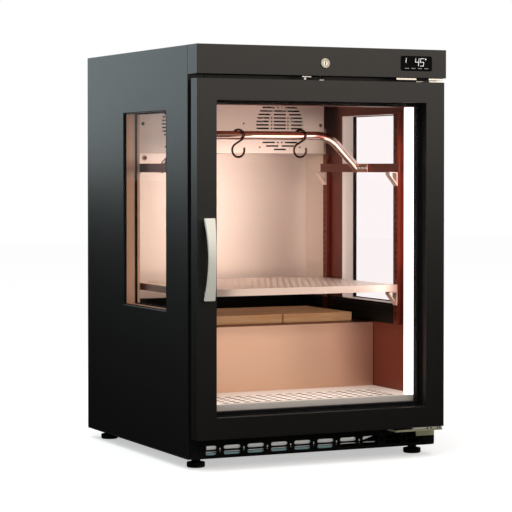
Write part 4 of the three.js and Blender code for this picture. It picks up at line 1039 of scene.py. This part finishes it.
pane_front = measured("door_front_pane")[0].y
bead = door_ring(BEAD_OUTER, BEAD_INNER, pane_front - 2.6, pane_front - 0.2)
round_edges(bead, 1.0)
finish_piece("glazing_bead", bead, gasket_rubber, "door")
low, high = measured("door_spacer")
spacer = door_ring(low.x - door_low.x, SPACER_INNER, low.y, high.y, upper=SPACER_TOP)
round_edges(spacer, 0.6)
finish_piece("glass_spacer", spacer, gasket_rubber, "door",
             replaces=["door_spacer"])

# %% [markdown]
# The gasket is a soft extrusion, with a bellows between its foot and its lip: two grooves
# round its outside. It is built as a core with three ribs round it.

# %% Gasket
RIB_WIDTH = 18
RIB_OVERHANG = 3
RIB_SPANS = ((0, 0.26), (0.4, 0.62), (0.74, 1))
seal_low, seal_high = measured("door_gasket")
seal_inset = seal_low.x - door_low.x
depth = seal_high.y - seal_low.y
seal = door_ring(seal_inset + RIB_OVERHANG, seal_inset + RIB_WIDTH - RIB_OVERHANG,
                 seal_low.y, seal_high.y)
for start, end in RIB_SPANS:
    rib = door_ring(seal_inset, seal_inset + RIB_WIDTH, seal_low.y + depth * start,
                    seal_low.y + depth * end)
    round_edges(rib, 0.8)
    rib_object = as_object(rib)
    seal.from_mesh(rib_object.data)
    bpy.data.objects.remove(rib_object)
finish_piece("door_seal", seal, gasket_rubber, "door", replaces=["door_gasket"])

# %% [markdown]
# ## Small fittings
# The lock, the hinges, the keeper, the switch and the controller are small bright or glossy
# pieces that draw the eye, so each gets its own rounded edge. The keyway is a thin dark strip
# that turns with the lock's core.

# %% Lock and keeper
KEYWAY_HALF_WIDTH, KEYWAY_HALF_HEIGHT = 1.3, 3.7
softened("lock_barrel", "lock_rosette", zinc_plate, 0.3)
softened("lock_plug", "lock_core", bright_steel, 0.2)
softened("lock_keeper", "keeper", bright_steel, 0.3)
lock_low, lock_high = measured("lock_barrel")
plug_face = measured("lock_plug")[0].y
lock_x, lock_z = (lock_low.x + lock_high.x) / 2, (lock_low.z + lock_high.z) / 2
keyway = stock((lock_x - KEYWAY_HALF_WIDTH, lock_x + KEYWAY_HALF_WIDTH,
                plug_face - 0.05, plug_face + 0.3,
                lock_z - KEYWAY_HALF_HEIGHT, lock_z + KEYWAY_HALF_HEIGHT))
finish_piece("keyway", keyway, black_plastic, "lock")

# %% Switch, hinges, controller, light bars and feet
for node, name, material in (
        ("door_switch", "switch", bright_steel),
        ("hinge_bottom_bracket", "bottom_hinge", olive_zinc),
        ("hinge_top_bracket", "top_hinge", bright_steel),
        ("hinge_door_plate", "door_hinge_plate", nickel_plate)):
    softened(node, name, material, 0.4)
softened("controller", "control_unit", gloss_acrylic, 0.6)
KEYS = range(1, 5)
for index in KEYS:
    softened(f"key_{index}", f"control_key_{index}", gloss_acrylic, 0.3)
for side, _ in SIDES:
    softened(f"light_bar_{side}", f"light_tube_{side}", opal_light, 1.5)
for corner in ("front_left", "front_right", "rear_left", "rear_right"):
    softened(f"foot_{corner}", f"screw_foot_{corner}", black_plastic, 0.5)

# %% [markdown]
# Dark socket screws hold the hinge plate to the door.

# %% Hinge screws
SCREW_PLACES = (37, 28, 11, 5.5)
SOCKET_RADIUS = 1.7
plate_low, plate_high = measured("hinge_door_plate")
level = plate_low.z + 1.2
screws = bmesh.new()
for inset in SCREW_PLACES:
    x = plate_high.x - inset
    rod(screws, (x, plate_low.y - 0.5, level), (x, plate_low.y + 2, level), SOCKET_RADIUS, steps=12)
finish_piece("hinge_plate_screws", screws, gasket_rubber, "door")

# %% [markdown]
# At the top the pin turns in a plate that is let into the door's edge, and a black plastic
# clip covers the middle of the fixed bracket, where it lies in shade: the black is painted shade.

# %% Top bush plate and clip
PIN_X, PIN_Y = plate_high.x - 9.3, 22
PIN_HOLE = 4.5
BUSH_WIDTH, BUSH_FRONT, BUSH_REAR, BUSH_SHEET = 34, 4, 29, 2.6
CLIP_START, CLIP_END = 228, 259
bracket_low, bracket_high = measured("hinge_top_bracket")
bush = stock((plate_high.x - BUSH_WIDTH, plate_high.x, BUSH_FRONT, BUSH_REAR,
              door_high.z + 0.1, door_high.z + BUSH_SHEET))
hole = bmesh.new()
rod(hole, (PIN_X, PIN_Y, door_high.z - 5), (PIN_X, PIN_Y, door_high.z + 9), PIN_HOLE, steps=32)
bush = cut_away(bush, hole)
round_edges(bush, 0.3)
finish_piece("top_bush_plate", bush, bright_steel, "door")
# Painted shade: a black clip over the shaded middle of the bracket.
clip = stock((CLIP_START, CLIP_END, bracket_low.y - 0.6, bracket_low.y + 6,
              bracket_high.z - 4.7, bracket_high.z + 0.1))
round_edges(clip, 0.25)
finish_piece("painted_shade_clip", clip, black_plastic)

# %% [markdown]
# The controller shows a temperature in lit seven-bar digits, with a degree dot, and a small
# figure for its program beside them. Each bar is a thin strip on the acrylic, and the figures
# lean to the right, as on most such displays. The letters name the seven bars, from the top
# one round with the clock, and the middle one last.

# %% Lit digits
DIGIT_BARS = {"1": "bc", "4": "fgbc", "5": "afgcd"}
DIGIT_BOTTOM, DIGIT_WIDTH, DIGIT_HEIGHT = 840.6, 8.2, 16.3
STROKE = 0.9
LEAN = 0.1
DEGREE_X, DEGREE_LEVEL, DEGREE_RADIUS = 247.1, 855.4, 1.5
BAR_FRONT = measured("controller")[0].y - 0.3
BAR_BACK = BAR_FRONT + 0.28


def digit_bars(bm, figure, left, bottom=DIGIT_BOTTOM, width=DIGIT_WIDTH, height=DIGIT_HEIGHT):
    right, top, middle = left + width, bottom + height, bottom + height / 2
    places = {
        "a": (left, top, right, top), "d": (left, bottom, right, bottom),
        "g": (left, middle, right, middle), "f": (left, middle, left, top),
        "b": (right, middle, right, top), "e": (left, bottom, left, middle),
        "c": (right, bottom, right, middle),
    }
    for bar in DIGIT_BARS[figure]:
        x0, z0, x1, z1 = places[bar]
        reach = STROKE / 2
        block(bm, min(x0, x1) - reach, max(x0, x1) + reach, BAR_FRONT, BAR_BACK,
              min(z0, z1) - reach, max(z0, z1) + reach)


digits = bmesh.new()
digit_bars(digits, "4", 220.7)
digit_bars(digits, "5", 233.2)
digit_bars(digits, "1", 195.6, bottom=847.3, width=1.2, height=9.7)
for vertex in digits.verts:
    vertex.co.x += (vertex.co.z - at(0, 0, DIGIT_BOTTOM).z) * LEAN
rod(digits, (DEGREE_X, BAR_FRONT, DEGREE_LEVEL), (DEGREE_X, BAR_BACK, DEGREE_LEVEL),
    DEGREE_RADIUS)
finish_piece("lit_digits", digits, lit_digit)

# %% [markdown]
# Every key carries a small printed mark. It stands for a generic key label, as plain strokes
# with no letters.

# %% Key marks
MARK_STROKES = ((-3.6, 2.6), (0, 3.4), (3.6, 2.2))
for index in KEYS:
    low, high = measured(f"key_{index}")
    middle = (low.x + high.x) / 2
    mark = bmesh.new()
    for offset, width in MARK_STROKES:
        block(mark, middle + offset - width / 2, middle + offset + width / 2,
              low.y - 0.12, low.y - 0.02, low.z + 0.9, high.z - 0.9)
    finish_piece(f"key_mark_{index}", mark, dim_label, f"key_{index}")

# %% [markdown]
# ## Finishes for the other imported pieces
# The pieces that already have the right shape keep it, and get their real finish.

# %% Finishes by piece
FINISHES = {"pane": clear_glass, "fan": black_plastic, "coil": mill_aluminium,
            "condenser": mill_aluminium, "compressor": black_coat}
for node, piece in frame["nodes"].items():
    if piece.hide_render:
        continue
    word = next(word for word in FINISHES if word in node)
    piece.data.materials.clear()
    piece.data.materials.append(FINISHES[word])
    print(f"{node}: {FINISHES[word].name}")

# %% [markdown]
# ## Studio
# The cabinet stands on a pale floor in soft, even light. The camera, the metal and the glass
# all see a plain white room, while the room adds only a soft fill to the object itself. The
# light path tells both kinds of ray apart, for the floor as for the room.

# %% Floor
WHITE = (1, 1, 1, 1)
FLOOR_SIZE = 12
FLOOR_GLOW = 0.5


def seen_directly(tree):
    """1 for rays from the camera, from a mirror or through glass, and 0 for soft light."""
    path = add(tree, "ShaderNodeLightPath").outputs
    seen = path["Is Camera Ray"]
    for ray in ("Is Glossy Ray", "Is Transmission Ray"):
        seen = add(tree, "ShaderNodeMath", {0: seen, 1: path[ray]},
                   operation="MAXIMUM").outputs[0]
    return seen


floor_mesh = bmesh.new()
bmesh.ops.create_grid(floor_mesh, x_segments=1, y_segments=1, size=FLOOR_SIZE)
floor = as_object(floor_mesh, "floor")
floor_finish, tree, shader, _ = new_finish("pale_studio_floor", roughness=0.9,
                                           specular_ior_level=0.0)
shader.inputs["Base Color"].default_value = linear("#f0f0f0")
shader.inputs["Emission Color"].default_value = WHITE
glow = add(tree, "ShaderNodeMath", {0: seen_directly(tree), 1: FLOOR_GLOW}, operation="MULTIPLY")
tree.links.new(glow.outputs[0], shader.inputs["Emission Strength"])
floor.data.materials.append(floor_finish)

# %% White room
ROOM_FILL = 0.55
world = bpy.data.worlds.new("white_room")
world.use_nodes = True
scene.world = world
tree = world.node_tree
level = add(tree, "ShaderNodeMapRange", {"Value": seen_directly(tree), "To Min": ROOM_FILL,
                                         "To Max": 1.0})
background = tree.nodes["Background"]
background.inputs["Color"].default_value = WHITE
tree.links.new(level.outputs["Result"], background.inputs["Strength"])

# %% [markdown]
# Photographers keep glossy black objects dark by standing black cloth beside them, out of the
# picture. Here it stands low, behind the left side and before the front, and it lies on the
# floor there. It is a ring of 72 faces, from which those with other bearings are taken out,
# and only reflections see it.

# %% Black cloth for the reflections
CLOTH_REACH = 1.6
CLOTH_HEIGHT = 0.6
CLOTH_FACES = 72
CLOTH_SPANS = ((60, 225), (230, 340))
THREAD_MM = 4
cloth, tree, shader, point = new_finish("black_molton_cloth", roughness=0.95,
                                        specular_ior_level=0.0)
tree.links.new(blend_of(tree, grain(tree, point, THREAD_MM), linear("#030303"),
                        linear("#070707")), shader.inputs["Base Color"])
ring = bmesh.new()
bmesh.ops.create_cone(ring, cap_ends=False, segments=CLOTH_FACES, radius1=CLOTH_REACH,
                      radius2=CLOTH_REACH, depth=CLOTH_HEIGHT,
                      matrix=Matrix.Translation((0, 0, CLOTH_HEIGHT / 2)))
bmesh.ops.create_circle(ring, cap_ends=True, cap_tris=True, segments=CLOTH_FACES,
                        radius=CLOTH_REACH, matrix=Matrix.Translation((0, 0, 0.002)))
open_parts = []
for face in ring.faces:
    middle = face.calc_center_median()
    bearing = math.degrees(math.atan2(middle.y, middle.x)) % 360
    if not any(start < bearing < end for start, end in CLOTH_SPANS):
        open_parts.append(face)
bmesh.ops.delete(ring, geom=open_parts, context="FACES")
print("faces of cloth taken out:", len(open_parts))
black_cloth = as_object(ring, "black_cloth")
black_cloth.data.materials.append(cloth)
for ray in ("camera", "diffuse", "transmission", "shadow"):
    setattr(black_cloth, f"visible_{ray}", False)

# %% [markdown]
# One large soft lamp hangs overhead. Two smaller ones stand for the white cards of a studio: a
# cool one behind the left side and a warm one before the front, which brighten the upper parts.

# %% Soft lamps


def soft_lamp(name, place, target, size, power, colour="#ffffff"):
    data = bpy.data.lights.new(name, "AREA")
    data.shape = "RECTANGLE"
    data.size, data.size_y = size
    data.energy = power
    data.color = linear(colour)[:3]
    lamp = bpy.data.objects.new(name, data)
    lamp.location = place
    lamp.rotation_euler = (Vector(target) - Vector(place)).to_track_quat("-Z", "Y").to_euler()
    lamp.visible_camera = False
    scene.collection.objects.link(lamp)
    print(f"{name}: {power} W")


soft_lamp("overhead", (-0.6, -0.8, 3.2), (0, 0, 0.4), (3, 3), 45)
soft_lamp("side_card", (-0.95, 1.35, 1.25), (-0.3, 0, 0.95), (1.3, 1.2), 3.5, "#bceefb")
soft_lamp("front_card", (0.8, -1.95, 1.25), (0, -0.3, 1.0), (1.3, 1.2), 4.9, "#ffe2bc")

# %% [markdown]
# The light bars fill the cabinet with rosy light. Their own covers are too narrow to show that
# smoothly in brushed steel, so soft lamps of their colour stand in the mouth of the cabinet:
# a low one before the hump, a faint one before the shelf, a high one before the fan cover, and
# one that shines down on the floor tray.

# %% Lamps in the mouth
ROSY_WHITE = "#fff0e8"
MOUTH = measured("light_bar_right")[1].y + 4
MOUTH_LAMPS = (("low_mouth_lamp", -40, 205, (0.4, 0.18), 0.2),
               ("shelf_lamp", 60, 345, (0.4, 0.08), 0.07),
               ("high_mouth_lamp", 172, 535, (0.17, 0.3), 0.62))
for name, x, z, size, power in MOUTH_LAMPS:
    soft_lamp(name, at(x, MOUTH, z), at(x, MOUTH + 100, z), size, power, ROSY_WHITE)
soft_lamp("tray_lamp", at(0, MOUTH + 30, 250), at(0, MOUTH + 30, 100), (0.44, 0.1), 0.27,
          ROSY_WHITE)
